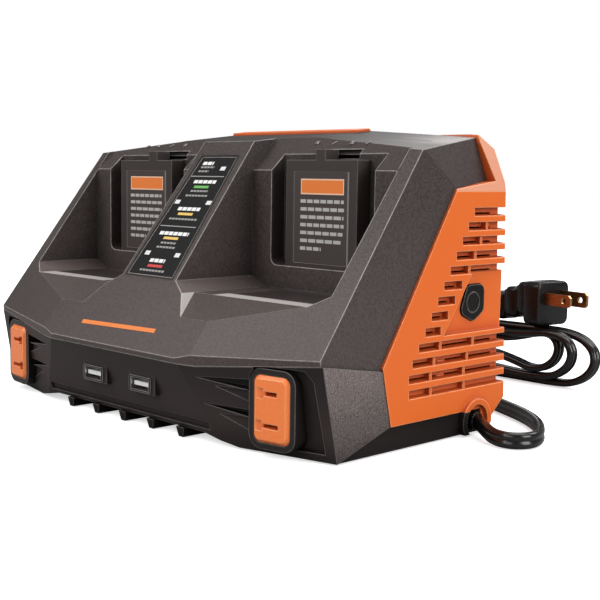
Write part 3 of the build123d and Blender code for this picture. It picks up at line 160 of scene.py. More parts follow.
class Graph:
    """The node tree of one material or of the world."""

    def __init__(self, tree: bpy.types.NodeTree) -> None:
        """Starts with an empty tree."""
        self.tree = tree
        tree.nodes.clear()

    def add(
        self, kind: str, settings: dict[str, Any] | None = None, values: dict[Any, Any] | None = None
    ) -> Added:
        """Adds a node, its settings first and then its sockets.

        Args:
            kind: The node's type.
            settings: Its properties, such as an operation.
            values: Numbers, colours or sockets by input name or place.

        Returns:
            The added node.
        """
        node = self.tree.nodes.new(kind)
        for key, value in (settings or {}).items():
            setattr(node, key, value)
        for key, value in (values or {}).items():
            if isinstance(value, Socket):
                self.tree.links.new(value.output, node.inputs[key])
            else:
                node.inputs[key].default_value = value
        return Added(self, node)

    def mix(self, factor: Any, low: Any, high: Any) -> Socket:
        """Two colours or sockets mixed: nought gives low and one gives high."""
        values = {0: factor, 6: _rgba(low), 7: _rgba(high)}
        return self.add("ShaderNodeMix", {"data_type": "RGBA"}, values).out(2)

    def shade(self, factor: Any, colour: Colour, span: Span) -> Socket:
        """The colour, scaled from the span's first number to its second."""
        return self.mix(factor, scaled(colour, span[0]), scaled(colour, span[1]))

    def place(self) -> Socket:
        """The point on the piece, in metres."""
        return self.add("ShaderNodeTexCoord").out("Object")

    def split(self, vector: Socket) -> tuple[Socket, Socket, Socket]:
        """The vector's x, y and z."""
        parts = self.add("ShaderNodeSeparateXYZ", {}, {0: vector})
        return parts.out(0), parts.out(1), parts.out(2)

    def axes(self) -> tuple[Socket, Socket, Socket]:
        """The point's x, y and z in millimetres."""
        x, y, z = self.split(self.place())
        return x * 1000.0, y * 1000.0, z * 1000.0

    def facing(self) -> tuple[Socket, Socket, Socket]:
        """The x, y and z of the way that the flat surface faces."""
        return self.split(self.add("ShaderNodeNewGeometry").out("True Normal"))

    def noise(
        self, scale: float, detail: float = 2.0, rough: float = 0.5, place: Socket | None = None
    ) -> Socket:
        """Cloudy noise with that many waves to the metre, on the piece or on another place."""
        values = {"Vector": place or self.place(), "Scale": scale, "Detail": detail, "Roughness": rough}
        return self.add("ShaderNodeTexNoise", {}, values).out(0)

    def corners(self, radius: float) -> Socket:
        """Finds the outer edges.

        Args:
            radius: How far it fades away from an edge, in metres.

        Returns:
            One along the outer edges and nought elsewhere.
        """
        soft = self.add("ShaderNodeBevel", {"samples": 6}, {"Radius": radius}).out()
        flat = self.add("ShaderNodeNewGeometry").out("Normal")
        product = {"operation": "DOT_PRODUCT"}
        cosine = self.add("ShaderNodeVectorMath", product, {0: soft, 1: flat}).out("Value")
        values = {"Distance": radius * 3.0}
        open_air = self.add("ShaderNodeAmbientOcclusion", {"samples": 6}, values).out("AO")
        return (1.0 - cosine).ramp(0.004, 0.07) * open_air.ramp(0.72, 0.95)

    def crevices(self, reach: float) -> Socket:
        """One in the open and less in corners and slots closer than reach, in metres."""
        return self.add("ShaderNodeAmbientOcclusion", {"samples": 8}, {"Distance": reach}).out("AO")

    def ray(self, kind: str) -> Socket:
        """One for that kind of ray."""
        return self.add("ShaderNodeLightPath").out(f"Is {kind} Ray")

    def seen(self) -> Socket:
        """One for what the camera sees, also through clear pieces."""
        return self.ray("Camera").at_least(self.ray("Transmission"))

    def bump(self, height: Socket, depth: float, edge: float) -> Socket:
        """A rough surface with softened edges.

        Args:
            height: The relief, from nought to one.
            depth: How high one stands, in metres.
            edge: The radius of the softened edges, in metres.

        Returns:
            The normal.
        """
        values = {"Height": height, "Distance": depth, "Strength": 1.0}
        if edge > 0.0:
            soft = self.add("ShaderNodeBevel", {"samples": 6}, {"Radius": edge})
            values["Normal"] = soft.out()
        return self.add("ShaderNodeBump", {}, values).out()

    def surface(self, **values: Any) -> None:
        """Adds the output and the shader, its inputs named with _ for a space."""
        shader = self.add("ShaderNodeBsdfPrincipled", {}, {k.replace("_", " "): v for k, v in values.items()})
        self.add("ShaderNodeOutputMaterial", {}, {"Surface": shader.out()})


def _rgba(value: Any) -> Any:
    """A colour with its fourth number, or the socket as it is."""
    return value if isinstance(value, Socket) else (*value, 1.0)


def new_material(name: str) -> tuple[Material, Graph]:
    """Makes an empty material.

    Args:
        name: The material's name.

    Returns:
        The material and its graph.
    """
    material = bpy.data.materials.new(name)
    material.use_nodes = True
    return material, Graph(material.node_tree)


@dataclass(frozen=True)
class Moulding:
    """Moulded plastic or rubber with a fine texture, painted highlights on its edges and painted shade in its
    corners.

    The rim is the colour of the painted highlight on its outer edges; the field after it sets how dark the
    painted shade in its corners and slots is, within reach, and the one after that gives the shade's colour.
    """

    name: str
    colour: Colour
    roughness: float = 0.5
    waves: float = 1500.0
    depth: float = 0.00003
    mottle: float = 0.12
    grain: float = 0.0
    edge: float = 0.0006
    # painted highlight: the colour of the outer edges
    rim: Colour | None = None
    # painted shade: how dark corners and slots are painted, and the colour of that shade
    painted_shade: float = 0.0
    painted_shade_colour: Colour | None = None
    reach: float = 0.006
    shine: float = 0.5

    def base(self, graph: Graph) -> Any:
        """The colour before clouds, grain, painted shade and painted edge highlights."""
        return self.colour

    def material(self) -> Material:
        """Builds the material.

        Returns:
            The material.
        """
        material, graph = new_material(self.name)
        grain = graph.noise(self.waves, 2.0, 0.6)
        cloud = graph.noise(22.0)
        base = self.base(graph)
        pale = tuple(min(0.9, c * 2.6) for c in self.colour)
        dark = graph.mix(self.mottle, base, NO_LIGHT)
        light = graph.mix(self.mottle, base, pale)
        tone = graph.mix(cloud.ramp(0.25, 0.75) * 0.5 + grain * 0.5, dark, light)
        if self.grain > 0.0:
            pits = grain.ramp(0.36, 0.64)
            pitted = graph.mix(self.grain * 0.6, tone, NO_LIGHT)
            tone = graph.mix(pits * self.grain, pitted, graph.mix(0.5, base, pale))
        # painted shade: corners and slots closer than reach are darkened towards the shade colour
        if self.painted_shade > 0.0:
            shut = 1.0 - graph.crevices(self.reach)
            tone = graph.mix(shut * self.painted_shade, tone, self.painted_shade_colour or scaled(self.colour, 0.12))
        # painted highlight: outer edges lightened towards the rim colour, broken up by noise
        if self.rim is not None:
            highlight_breakup = graph.noise(260.0, 3.0, 0.7).ramp(0.2, 0.6) * 0.5 + 0.45
            tone = graph.mix(graph.corners(self.edge) * highlight_breakup, tone, self.rim)
        graph.surface(
            Base_Color=tone,
            Roughness=grain * 0.16 + (self.roughness - 0.08),
            Normal=graph.bump(grain, self.depth, self.edge),
            Specular_IOR_Level=self.shine,
        )
        return material


@dataclass(frozen=True)
class HousingMoulding(Moulding):
    """The housing's moulding, in painted light and shade, with dark plates in the bays.

    Painted shade darkens it towards the top, on the brow and on the roof, painted light pales the sloping
    front to the right, a painted reflection pales the roof's sides, and painted highlights pale the bays'
    chamfers, their floors' lips and the facets by the label. The x, y and z fields are in millimetres, and
    the shade, light and highlight fields are factors on the colour.
    """

    # painted reflection: the colour of the roof's sides and back
    roof_sheen: Colour = (0.50, 0.465, 0.45)
    # painted shade: the colour of the flat roof
    roof: Colour = (0.010, 0.008, 0.008)
    # painted shade: the colour of the brow
    brow: Colour = (0.038, 0.029, 0.027)
    # painted highlight: the colour of the bay floors' lips and the facets by the label
    lip: Colour = (0.62, 0.58, 0.56)
    wall_z: Span = (42.0, 125.0)
    front_x: Span = (-120.0, 35.0)
    front_z: Span = (50.0, 84.0)
    sheen_x: Span = (52.0, 106.0)
    sheen_y: Span = (20.0, 40.0)
    groove_x: Span = (60.0, 97.0)
    groove_y: Span = (33.7, 35.5)
    floor_z: Span = (58.7, 59.3)
    plate_x: Span = (44.0, 98.0)
    plate_y: Span = (-30.0, -5.0)
    lip_x: Span = (41.0, 101.0)
    lip_y: float = -31.5
    corner_z: float = 61.0
    bevel_z: float = 80.0
    brow_z: float = 117.0
    # painted shade: how much paler the moulding is at its foot and darker at its top
    wall_painted_shade: Span = (1.18, 0.60)
    # painted light: how much darker the front is on its left and paler on its right
    front_light_and_shade: Span = (0.78, 1.34)
    # painted highlight: how much paler the bays' chamfers are
    bevel_highlight: float = 2.0
    plate_shade: float = 0.1
    groove_shade: float = 0.2

    def base(self, graph: Graph) -> Socket:
        """Painted shade darker towards the top and on the brow and the roof, painted light paler to the right
        on the front, and painted highlights on the chamfers, the lips and by the label.

        Args:
            graph: The material's graph.

        Returns:
            The colour.
        """
        across, _, upward = graph.facing()
        x, y, z = graph.axes()
        side = abs(x)
        # painted shade: the whole moulding paler at its foot and darker towards the top
        tone = graph.shade(z.ramp(*self.wall_z), self.colour, self.wall_painted_shade)
        # painted light: the lower sloping front paler towards the right
        front = upward.within((0.5, 0.7)) * (1.0 - z.ramp(*self.front_z))
        tone = graph.mix(front, tone, graph.shade(x.ramp(*self.front_x), self.colour, self.front_light_and_shade))
        # painted highlight on the bays' sloping chamfers
        bevel = abs(across).within((0.3, 0.6)) * (upward > 0.8) * (z < self.bevel_z)
        tone = graph.mix(bevel, tone, scaled(self.colour, self.bevel_highlight))
        # painted shade: faces looking up above the brow height are darkened, and the flat roof darker still
        # below
        high = z > self.brow_z
        tone = graph.mix((upward > 0.7) * high, tone, self.brow)
        level = upward > 0.95
        tone = graph.mix(level * high, tone, self.top(graph, side, y))
        floor = level * z.within(self.floor_z)
        plate = floor * y.within(self.plate_y) * side.within(self.plate_x)
        tone = graph.mix(plate, tone, scaled(self.colour, self.plate_shade))
        # painted highlight: the front lips of the bay floors and the steep facets low by the label turn pale
        lip = floor * (y < self.lip_y) * side.within(self.lip_x)
        corner = (abs(across) > 0.70) * (upward > 0.6) * (z < self.corner_z)
        return graph.mix(lip.at_least(corner), tone, self.lip)

    def top(self, graph: Graph, side: Socket, y: Socket) -> Socket:
        """The roof in painted shade, with a painted reflection paling it to its sides and its back, and a
        dark groove.

        Args:
            graph: The material's graph.
            side: The distance from the middle.
            y: The place from front to back.

        Returns:
            The colour.
        """
        # painted reflection: the roof paler towards its sides and its back
        sheen = side.ramp(*self.sheen_x)
        sheen = sheen * sheen * (y.ramp(*self.sheen_y) * 0.72 + 0.28)
        groove = y.within(self.groove_y) * side.within(self.groove_x)
        dark = scaled(self.roof, self.groove_shade)
        return graph.mix(groove, graph.mix(sheen, self.roof, self.roof_sheen), dark)


@dataclass(frozen=True)
class CoverMoulding(Moulding):
    """The cover's moulding, with a painted highlight on its shoulders."""

    # painted highlight: the colour of the shoulders
    shoulder_sheen: Colour = (0.62, 0.25, 0.14)
    shoulder_z: float = 100.0

    def base(self, graph: Graph) -> Socket:
        """Painted highlight: paler on the two slanted shoulders.

        Args:
            graph: The material's graph.

        Returns:
            The colour.
        """
        across, _, upward = graph.facing()
        _, _, z = graph.axes()
        # painted highlight on the slanted shoulders
        sheen_mask = (abs(across) > 0.8) * (upward > 0.3) * (z > self.shoulder_z)
        return graph.mix(sheen_mask, self.colour, self.shoulder_sheen)


@dataclass(frozen=True)
class FasciaMoulding(Moulding):
    """The front moulding: smooth and dark, with grainy pale flanks, both in painted light and shade."""

    flank: Colour = (0.092, 0.076, 0.073)
    flank_x: float = 112.0
    flank_z: Span = (0.0, 42.0)
    front_z: Span = (8.0, 40.0)
    # painted reflection: the flanks' grit shades at their foot and, next, at their top
    low_shades: Span = (0.40, 1.5)
    high_shades: Span = (1.0, 3.2)
    # painted light and shade: the front paler at its foot and darker at its top under the nose
    front_light_and_shade: Span = (1.8, 0.7)

    def base(self, graph: Graph) -> Socket:
        """Dark in front, paler at its foot and darker under the nose in painted light and shade, and pale and
        gritty on the flanks, with a painted reflection brightening them towards the top.

        Args:
            graph: The material's graph.

        Returns:
            The colour.
        """
        across, _, _ = graph.facing()
        x, _, z = graph.axes()
        outside = (abs(x) > self.flank_x) * (abs(across) > 0.7)
        grit = graph.noise(1900.0, 4.0, 0.75).ramp(0.38, 0.64)
        low = graph.shade(grit, self.flank, self.low_shades)
        high = graph.shade(grit, self.flank, self.high_shades)
        # painted light and shade: the front paler at its foot and darker up under the nose
        front = graph.shade(z.ramp(*self.front_z), self.colour, self.front_light_and_shade)
        # painted reflection: the flanks brighter towards the top
        return graph.mix(outside, front, graph.mix(z.ramp(*self.flank_z), low, high))


@dataclass(frozen=True)
class Metal:
    """Bare or plated metal with drawn lines."""

    name: str
    colour: Colour
    roughness: float = 0.3
    stretch: Point = (1.0, 1.0, 1.0)

    def material(self) -> Material:
        """Builds the material.

        Returns:
            The material.
        """
        material, graph = new_material(self.name)
        mapped = graph.add("ShaderNodeMapping", {}, {"Vector": graph.place(), "Scale": self.stretch})
        lines = graph.noise(900.0, 3.0, place=mapped.out())
        graph.surface(
            Base_Color=graph.shade(lines, self.colour, (0.78, 1.0)),
            Metallic=1.0,
            Roughness=lines * 0.2 + (self.roughness - 0.1),
            Normal=graph.bump(lines, 0.00001, 0.0002),
        )
        return material


@dataclass(frozen=True)
class Patch:
    """A printed rectangle in the label's own plane, in millimetres, whole or in dashes."""

    left: float
    right: float
    low: float
    high: float
    ink: Colour
    dash: float = 0.0
    gap: float = 0.5

    @classmethod
    def around(cls, x: float, z: float, half: Pair, ink: "Ink") -> "Patch":
        """A whole rectangle round a point, from its half width and half height."""
        return cls(x - half[0], x + half[0], z - half[1], z + half[1], ink.value)

    def mask(self, across: Socket, up: Socket) -> Socket:
        """Finds the ink.

        Args:
            across: The place from left to right.
            up: The height.

        Returns:
            One inside the rectangle and outside the gaps between its dashes.
        """
        inside = across.within((self.left, self.right)) * up.within((self.low, self.high))
        if self.dash > 0.0:
            start = self.left - 10.0 * self.dash
            inside = inside * ((across - start).repeat(self.dash) > self.gap)
        return inside


@dataclass(frozen=True)
class Print:
    """Printed film: a ground colour and flat patches of ink."""

    name: str
    ground: Colour
    patches: tuple[Patch, ...]
    centre: float = 0.0
    roughness: float = 0.35
    metallic: float = 0.0
    shine: float = 0.3

    def material(self) -> Material:
        """Builds the material.

        Returns:
            The material.
        """
        material, graph = new_material(self.name)
        x, _, z = graph.axes()
        across = x - self.centre
        tone = graph.shade(graph.noise(60.0), self.ground, (0.9, 1.0))
        for patch in self.patches:
            tone = graph.mix(patch.mask(across, z), tone, patch.ink)
        graph.surface(
            Base_Color=tone,
            Roughness=graph.noise(400.0) * 0.1 + (self.roughness - 0.05),
            Normal=graph.bump(graph.noise(1800.0), 0.00001, 0.0002),
            Metallic=self.metallic,
            Specular_IOR_Level=self.shine,
        )
        return material


@dataclass(frozen=True)
class CordJacket:
    """Soft glossy jacket of the flat cord."""

    name: str = "cord_jacket"
    colour: Colour = (0.006, 0.0055, 0.005)

    def material(self) -> Material:
        """Builds the material.

        Returns:
            The material.
        """
        material, graph = new_material(self.name)
        scuffs = graph.noise(240.0, 4.0, 0.7)
        graph.surface(
            Base_Color=graph.shade(scuffs.ramp(0.45, 0.8), self.colour, (1.0, 2.4)),
            Roughness=scuffs * 0.14 + 0.14,
            Normal=graph.bump(graph.noise(900.0), 0.00002, 0.0),
        )
        return material


class Ink(Enum):
    """The printing inks, the tones of the USB rims, and the painted highlights along the block labels' edges.
    """

    WHITE = (0.75, 0.75, 0.74)
    GREY = (0.30, 0.29, 0.28)
    FADED = (0.44, 0.42, 0.41)
    BLACK = (0.004, 0.0036, 0.0035)
    ORANGE = (0.76, 0.20, 0.04)
    GREEN = (0.13, 0.42, 0.10)
    YELLOW = (0.72, 0.47, 0.13)
    RED = (0.55, 0.06, 0.06)
    LAMP = (0.68, 0.69, 0.66)
    BORDER = (0.80, 0.52, 0.36)
    # painted highlights along the block labels' right and left edges
    RIGHT_EDGE_HIGHLIGHT = (0.20, 0.18, 0.175)
    LEFT_EDGE_HIGHLIGHT = (0.10, 0.09, 0.088)
    BAND = (0.012, 0.010, 0.010)
    LIP = (0.50, 0.47, 0.46)


class Finishes:
    """Every finish of the charger, built once."""

    def __init__(self) -> None:
        """Builds them."""
        self.housing = HousingMoulding(
            "housing_black", (0.060, 0.046, 0.043), 0.46, waves=1100.0, depth=0.0001, mottle=0.10, grain=0.45,
            edge=0.0007, rim=(0.50, 0.46, 0.44), painted_shade=0.78, reach=0.012, shine=0.32,
        ).material()
        self.fascia = FasciaMoulding(
            "fascia_black", (0.019, 0.0142, 0.0130), 0.42, waves=1300.0, mottle=0.08,
            rim=(0.16, 0.145, 0.138), painted_shade=0.95, reach=0.012, shine=0.2,
        ).material()
        black = (0.014, 0.011, 0.010)
        self.base = Moulding(
            "base_black", black, 0.42, mottle=0.08, rim=(0.12, 0.11, 0.105), painted_shade=0.8, shine=0.12
        ).material()
        self.trim = Moulding(
            "trim_black", black, 0.32, mottle=0.08, rim=(0.20, 0.18, 0.175), painted_shade=0.8, shine=0.3
        ).material()
        self.orange = CoverMoulding(
            "cover_orange", (0.76, 0.140, 0.017), 0.38, depth=0.00002, mottle=0.03, edge=0.0008,
            rim=(0.98, 0.42, 0.20), painted_shade=0.95, shine=0.4, painted_shade_colour=(0.30, 0.030, 0.012),
        ).material()
        self.outlet = Moulding(
            "outlet_orange", (0.90, 0.215, 0.050), 0.26, depth=0.00001, mottle=0.02,
            rim=(0.98, 0.50, 0.25), painted_shade=0.4, reach=0.0014,
        ).material()
        self.rubber = Moulding("rubber_black", (0.02, 0.02, 0.02), 0.75).material()
        self.button = Moulding(
            "button_black", (0.004, 0.0035, 0.003), 0.14, depth=0.00001, mottle=0.05, rim=(0.25, 0.24, 0.23),
            shine=0.2,
        ).material()
        self.plug = Moulding(
            "plug_black", (0.006, 0.005, 0.005), 0.28, depth=0.00002, mottle=0.05,
            rim=(0.10, 0.09, 0.09), shine=0.35,
        ).material()
        self.white = Moulding("white_plastic", (0.72, 0.72, 0.70), 0.4, 800.0, 0.00001, 0.03).material()
        self.board = Moulding("solder_mask", (0.02, 0.12, 0.045), 0.35, 600.0, 0.00002, 0.2).material()
        self.sleeve = Moulding("capacitor_sleeve", (0.02, 0.022, 0.045), 0.3, 300.0, 0.00001).material()
        self.tape = Moulding("winding_tape", (0.62, 0.47, 0.10), 0.4, 400.0, 0.00002).material()
        self.ferrite = Moulding("ferrite", (0.045, 0.045, 0.05), 0.6, 900.0, 0.00004).material()
        self.relay = Moulding("relay_blue", (0.03, 0.09, 0.32), 0.35).material()
        self.steel = Metal("plated_steel", (0.62, 0.61, 0.59), 0.32, (1.0, 0.1, 1.0)).material()
        self.brass = Metal("brass", (0.62, 0.44, 0.20), 0.32, (0.2, 1.0, 1.0)).material()
        self.blade = Metal("blade_brass", (0.56, 0.30, 0.14), 0.3, (0.2, 1.0, 1.0)).material()
        self.copper = Metal("copper_wire", (0.70, 0.32, 0.16), 0.35, (0.1, 1.0, 1.0)).material()
        self.aluminium = Metal("aluminium", (0.66, 0.66, 0.67), 0.4, (1.0, 1.0, 0.05)).material()
        self.block = Moulding(
            "block_black", (0.040, 0.031, 0.028), 0.46, mottle=0.08, rim=(0.18, 0.165, 0.16),
            painted_shade=0.7, reach=0.008, shine=0.3,
        ).material()
        self.bead = Moulding(
            "bead_black", (0.10, 0.09, 0.085), 0.35, rim=(0.75, 0.71, 0.69), edge=0.0004
        ).material()
        self.jacket = CordJacket().material()
        self.stripe = Moulding(
            "stripe_orange", Ink.ORANGE.value, 0.4, 600.0, 0.00001, 0.03, edge=0.0
        ).material()


def paint(item: Item, material: Material) -> None:
    """Gives the whole piece one material."""
    item.data.materials.clear()
    item.data.materials.append(material)


def link(name: str, data: Any) -> Item:
    """Adds an object to the scene.

    Args:
        name: Its name.
        data: Its mesh, curve, lamp or camera.

    Returns:
        The object.
    """
    item = bpy.data.objects.new(name, data)
    bpy.context.scene.collection.objects.link(item)
    return item


def make_piece(name: str, mesh: Mesh, material: Material, body: str = BODY, smooth: bool = True) -> Item:
    """Turns a bmesh into a piece that rides on a body.

    Args:
        name: The piece's name.
        mesh: Its shape in millimetres, freed here.
        material: Its finish.
        body: The body that it rides on.
        smooth: Whether its shallow angles are shaded smooth.

    Returns:
        The piece.
    """
    bmesh.ops.scale(mesh, vec=(MM, MM, MM), verts=mesh.verts)
    data = bpy.data.meshes.new(name)
    for face in mesh.faces:
        face.smooth = smooth
    mesh.to_mesh(data)
    mesh.free()
    if smooth:
        data.set_sharp_from_angle(angle=SHARP)
    item = link(name, data)
    paint(item, material)
    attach(item, body)
    log.info("made %s", name)
    return item


def soften(mesh: Mesh, edges: Iterable[Edge], radius: float, steps: int = 3) -> None:
    """Rounds edges of a bmesh to a radius, with that many facets."""
    bmesh.ops.bevel(
        mesh, geom=list(edges), offset=radius, segments=steps, profile=0.5, affect="EDGES",
        clamp_overlap=True, material=-1,
    )


def box_mesh(low: Point, high: Point, radius: float = 0.0) -> Mesh:
    """Makes a box.

    Args:
        low: Its lowest corner.
        high: Its highest corner.
        radius: The width of its edges' rounding.

    Returns:
        The bmesh.
    """
    mesh = bmesh.new()
    size = [b - a for a, b in zip(low, high)]
    middle = [(a + b) / 2 for a, b in zip(low, high)]
    place = Matrix.Translation(middle) @ Matrix.Diagonal((*size, 1.0))
    bmesh.ops.create_cube(mesh, size=1.0, matrix=place)
    if radius > 0.0:
        soften(mesh, mesh.edges, radius)
    return mesh


def join_mesh(whole: Mesh, part: Mesh) -> None:
    """Adds one bmesh to another and frees it.

    Args:
        whole: The one that grows.
        part: The one that is added.
    """
    data = bpy.data.meshes.new("joined")
    part.to_mesh(data)
    part.free()
    whole.from_mesh(data)
    bpy.data.meshes.remove(data)


def face_point(x: float, z: float) -> Vector:
    """The point of the console face at that x and height, in millimetres."""
    return Vector((x, NOSE_Y + (z - NOSE_Z) / FACE_RISE, z))


def turned(first: Vector, second: Vector, third: Vector) -> Matrix:
    """The turn that lays x, y and z along three directions."""
    return Matrix((first, second, third)).transposed().to_4x4()


@dataclass
class Part:
    """A sub-assembly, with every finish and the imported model's nodes."""

    finishes: Finishes
    nodes: Nodes

    def paint(self, chosen: dict[str, Material]) -> None:
        """Gives each named node its material."""
        for name, material in chosen.items():
            paint(self.nodes[name], material)


@dataclass
class Shells(Part):
    """The moulded housing, its front, its cover and its base."""

    stripe_low: Pair = (-28.4, 42.2)
    stripe_high: Pair = (25.6, 43.3)
    stripe_width: float = 2.0
    stripe_depth: Span = (-0.05, 0.12)
    screen_x: Span = (81.0, 110.5)
    screen_y: Span = (59.6, 60.2)
    screen_z: Span = (16.0, 100.0)
    screen_lean: float = 0.02
    mark_points: tuple[Point, ...] = (
        (47.6, 14.9, 124.4), (58.4, 14.7, 124.2), (69.5, 14.5, 124.1), (79.0, 14.4, 124.0),
    )
    mark_low: Point = (-1.3, -0.35, -0.1)
    mark_high: Point = (1.3, 0.35, 0.5)
    mark_turn: float = 40.0
    brow_up: Point = (0.0, 0.743, 0.669)
    brow_out: Point = (0.0, -0.669, 0.743)

    def dress(self) -> None:
        """Paints the mouldings and adds their trim."""
        f = self.finishes
        self.paint({
            "upper_housing": f.housing,
            "front_fascia": f.fascia,
            "rear_cover": f.orange,
            "base_pan": f.base,
            "rubber_feet": f.rubber,
            "housing_screws": f.steel,
        })
        self.stripe()
        self.shade_screens()
        self.marks()

    def shade_screens(self) -> None:
        """Stands a dark sheet behind the rear louvres at each corner, as painted shade seen through the
        slots.
        """
        mesh = bmesh.new()
        for sign in (-1.0, 1.0):
            left, right = sorted(sign * x for x in self.screen_x)
            low = (left, self.screen_y[0], self.screen_z[0])
            plate = box_mesh(low, (right, self.screen_y[1], self.screen_z[1]), 0.1)
            for vert in plate.verts:
                vert.co.y += self.screen_lean * vert.co.z
            join_mesh(mesh, plate)
        make_piece("rear_screens", mesh, self.finishes.block, smooth=False)

    def marks(self) -> None:
        """Raises the small ticks in front of each bay's roof, in turn crossed and single."""
        mesh = bmesh.new()
        stand = turned(Vector((1.0, 0.0, 0.0)), Vector(self.brow_up), Vector(self.brow_out))
        for sign in (-1.0, 1.0):
            for index, (x, y, z) in enumerate(self.mark_points):
                for turn in (self.mark_turn, -self.mark_turn)[: 2 - index % 2]:
                    tick = box_mesh(self.mark_low, self.mark_high, 0.15)
                    lean = Matrix.Rotation(math.radians(turn), 4, "Z")
                    place = Matrix.Translation((sign * x, y, z)) @ stand @ lean
                    bmesh.ops.transform(tick, matrix=place, verts=tick.verts)
                    join_mesh(mesh, tick)
        make_piece("roof_ticks", mesh, self.finishes.bead, smooth=False)

    def stripe(self) -> None:
        """Lays the plain accent stripe on the nose."""
        low = face_point(*self.stripe_low)
        high = face_point(*self.stripe_high)
        half = self.stripe_width / 2
        under, over = self.stripe_depth
        mesh = box_mesh((0.0, -half, under), ((high - low).length, half, over))
        along = (high - low).normalized()
        side = FACE_NORMAL.cross(along).normalized()
        place = Matrix.Translation(low) @ turned(along, side, FACE_NORMAL)
        bmesh.ops.transform(mesh, matrix=place, verts=mesh.verts)
        make_piece("accent_stripe", mesh, self.finishes.stripe, smooth=False)


class Row(Enum):
    """The kinds of printed row, each with its height, the length of its dashes and its ink."""

    TITLE = (1.5, 3.4, Ink.WHITE)
    FINE = (0.8, 2.3, Ink.GREY)
    RULE = (0.4, 0.0, Ink.GREY)
    GREEN_BAR = (1.1, 0.0, Ink.GREEN)
    YELLOW_BAR = (1.1, 0.0, Ink.YELLOW)
    RED_BAR = (1.1, 0.0, Ink.RED)


@dataclass
class Console(Part):
    """The status label between the bays and its lamps."""

    window: Pair = (1.75, 0.88)
    lamps: tuple[Pair, ...] = ((7.2, 112.6), (11.4, 97.0), (-11.4, 97.0), (11.0, 73.8), (-11.0, 73.8))
    outline: tuple[Pair, ...] = ((-17.4, 63.9), (17.4, 63.9), (13.2, 118.5), (-13.2, 118.5))
    bead: float = 0.7
    lift: float = 0.4
    rows: tuple[tuple[Row, float, float, float], ...] = (
        (Row.TITLE, -9.8, -1.6, 115.0),
        (Row.FINE, -9.8, 0.4, 113.2),
        (Row.FINE, -10.0, -2.2, 111.3),
        (Row.RULE, -12.7, 11.3, 108.9),
        (Row.TITLE, -8.6, 7.9, 106.4),
        (Row.GREEN_BAR, -5.9, 4.7, 104.0),
        (Row.FINE, -7.1, 5.8, 102.1),
        (Row.FINE, -8.8, 7.8, 100.0),
        (Row.TITLE, -8.5, 8.0, 93.9),
        (Row.YELLOW_BAR, -5.9, 4.8, 91.6),
        (Row.FINE, -10.8, 10.0, 89.3),
        (Row.RULE, -13.5, 12.6, 86.0),
        (Row.TITLE, -11.2, 10.4, 82.8),
        (Row.YELLOW_BAR, -5.9, 4.8, 80.7),
        (Row.FINE, -6.3, 5.0, 78.6),
        (Row.FINE, -7.6, 6.1, 76.7),
        (Row.TITLE, -6.6, 4.9, 70.8),
        (Row.RED_BAR, -5.6, 5.1, 68.5),
        (Row.FINE, -10.0, 8.8, 66.5),
    )

    def patches(self) -> tuple[Patch, ...]:
        """Lays out the printed bars, rules and rows of dashes.

        Returns:
            The patches.
        """
        found = []
        for row, left, right, z in self.rows:
            height, dash, ink = row.value
            found.append(Patch(left, right, z - height / 2, z + height / 2, ink.value, dash))
        return tuple(found)

    def frame(self) -> None:
        """Raises a thin bead round the label."""
        mesh = bmesh.new()
        face = mesh.faces.new([mesh.verts.new(face_point(x, z)) for x, z in self.outline])
        bmesh.ops.inset_region(
            mesh, faces=[face], thickness=self.bead, use_even_offset=True, use_boundary=True
        )
        bmesh.ops.delete(mesh, geom=[face], context="FACES_ONLY")
        grown = bmesh.ops.extrude_face_region(mesh, geom=list(mesh.faces), use_keep_orig=True)["geom"]
        raised = [g for g in grown if isinstance(g, Vert)]
        bmesh.ops.translate(mesh, vec=FACE_NORMAL * self.lift, verts=raised)
        bmesh.ops.recalc_face_normals(mesh, faces=mesh.faces)
        make_piece("label_frame", mesh, self.finishes.bead, smooth=False)

    def dress(self) -> None:
        """Prints the label, prints the lamps as pale squares on black, and frames them."""
        label = Print("status_print", Ink.BLACK.value, self.patches(), roughness=0.42, shine=0.2)
        squares = tuple(Patch.around(x, z, self.window, Ink.LAMP) for x, z in self.lamps)
        lamps = Print("lamp_print", Ink.BLACK.value, squares, roughness=0.3)
        self.paint({
            "status_label": label.material(),
            "light_pipes": lamps.material(),
            "indicator_board": self.finishes.board,
            "indicator_leds": self.finishes.white,
        })
        self.frame()


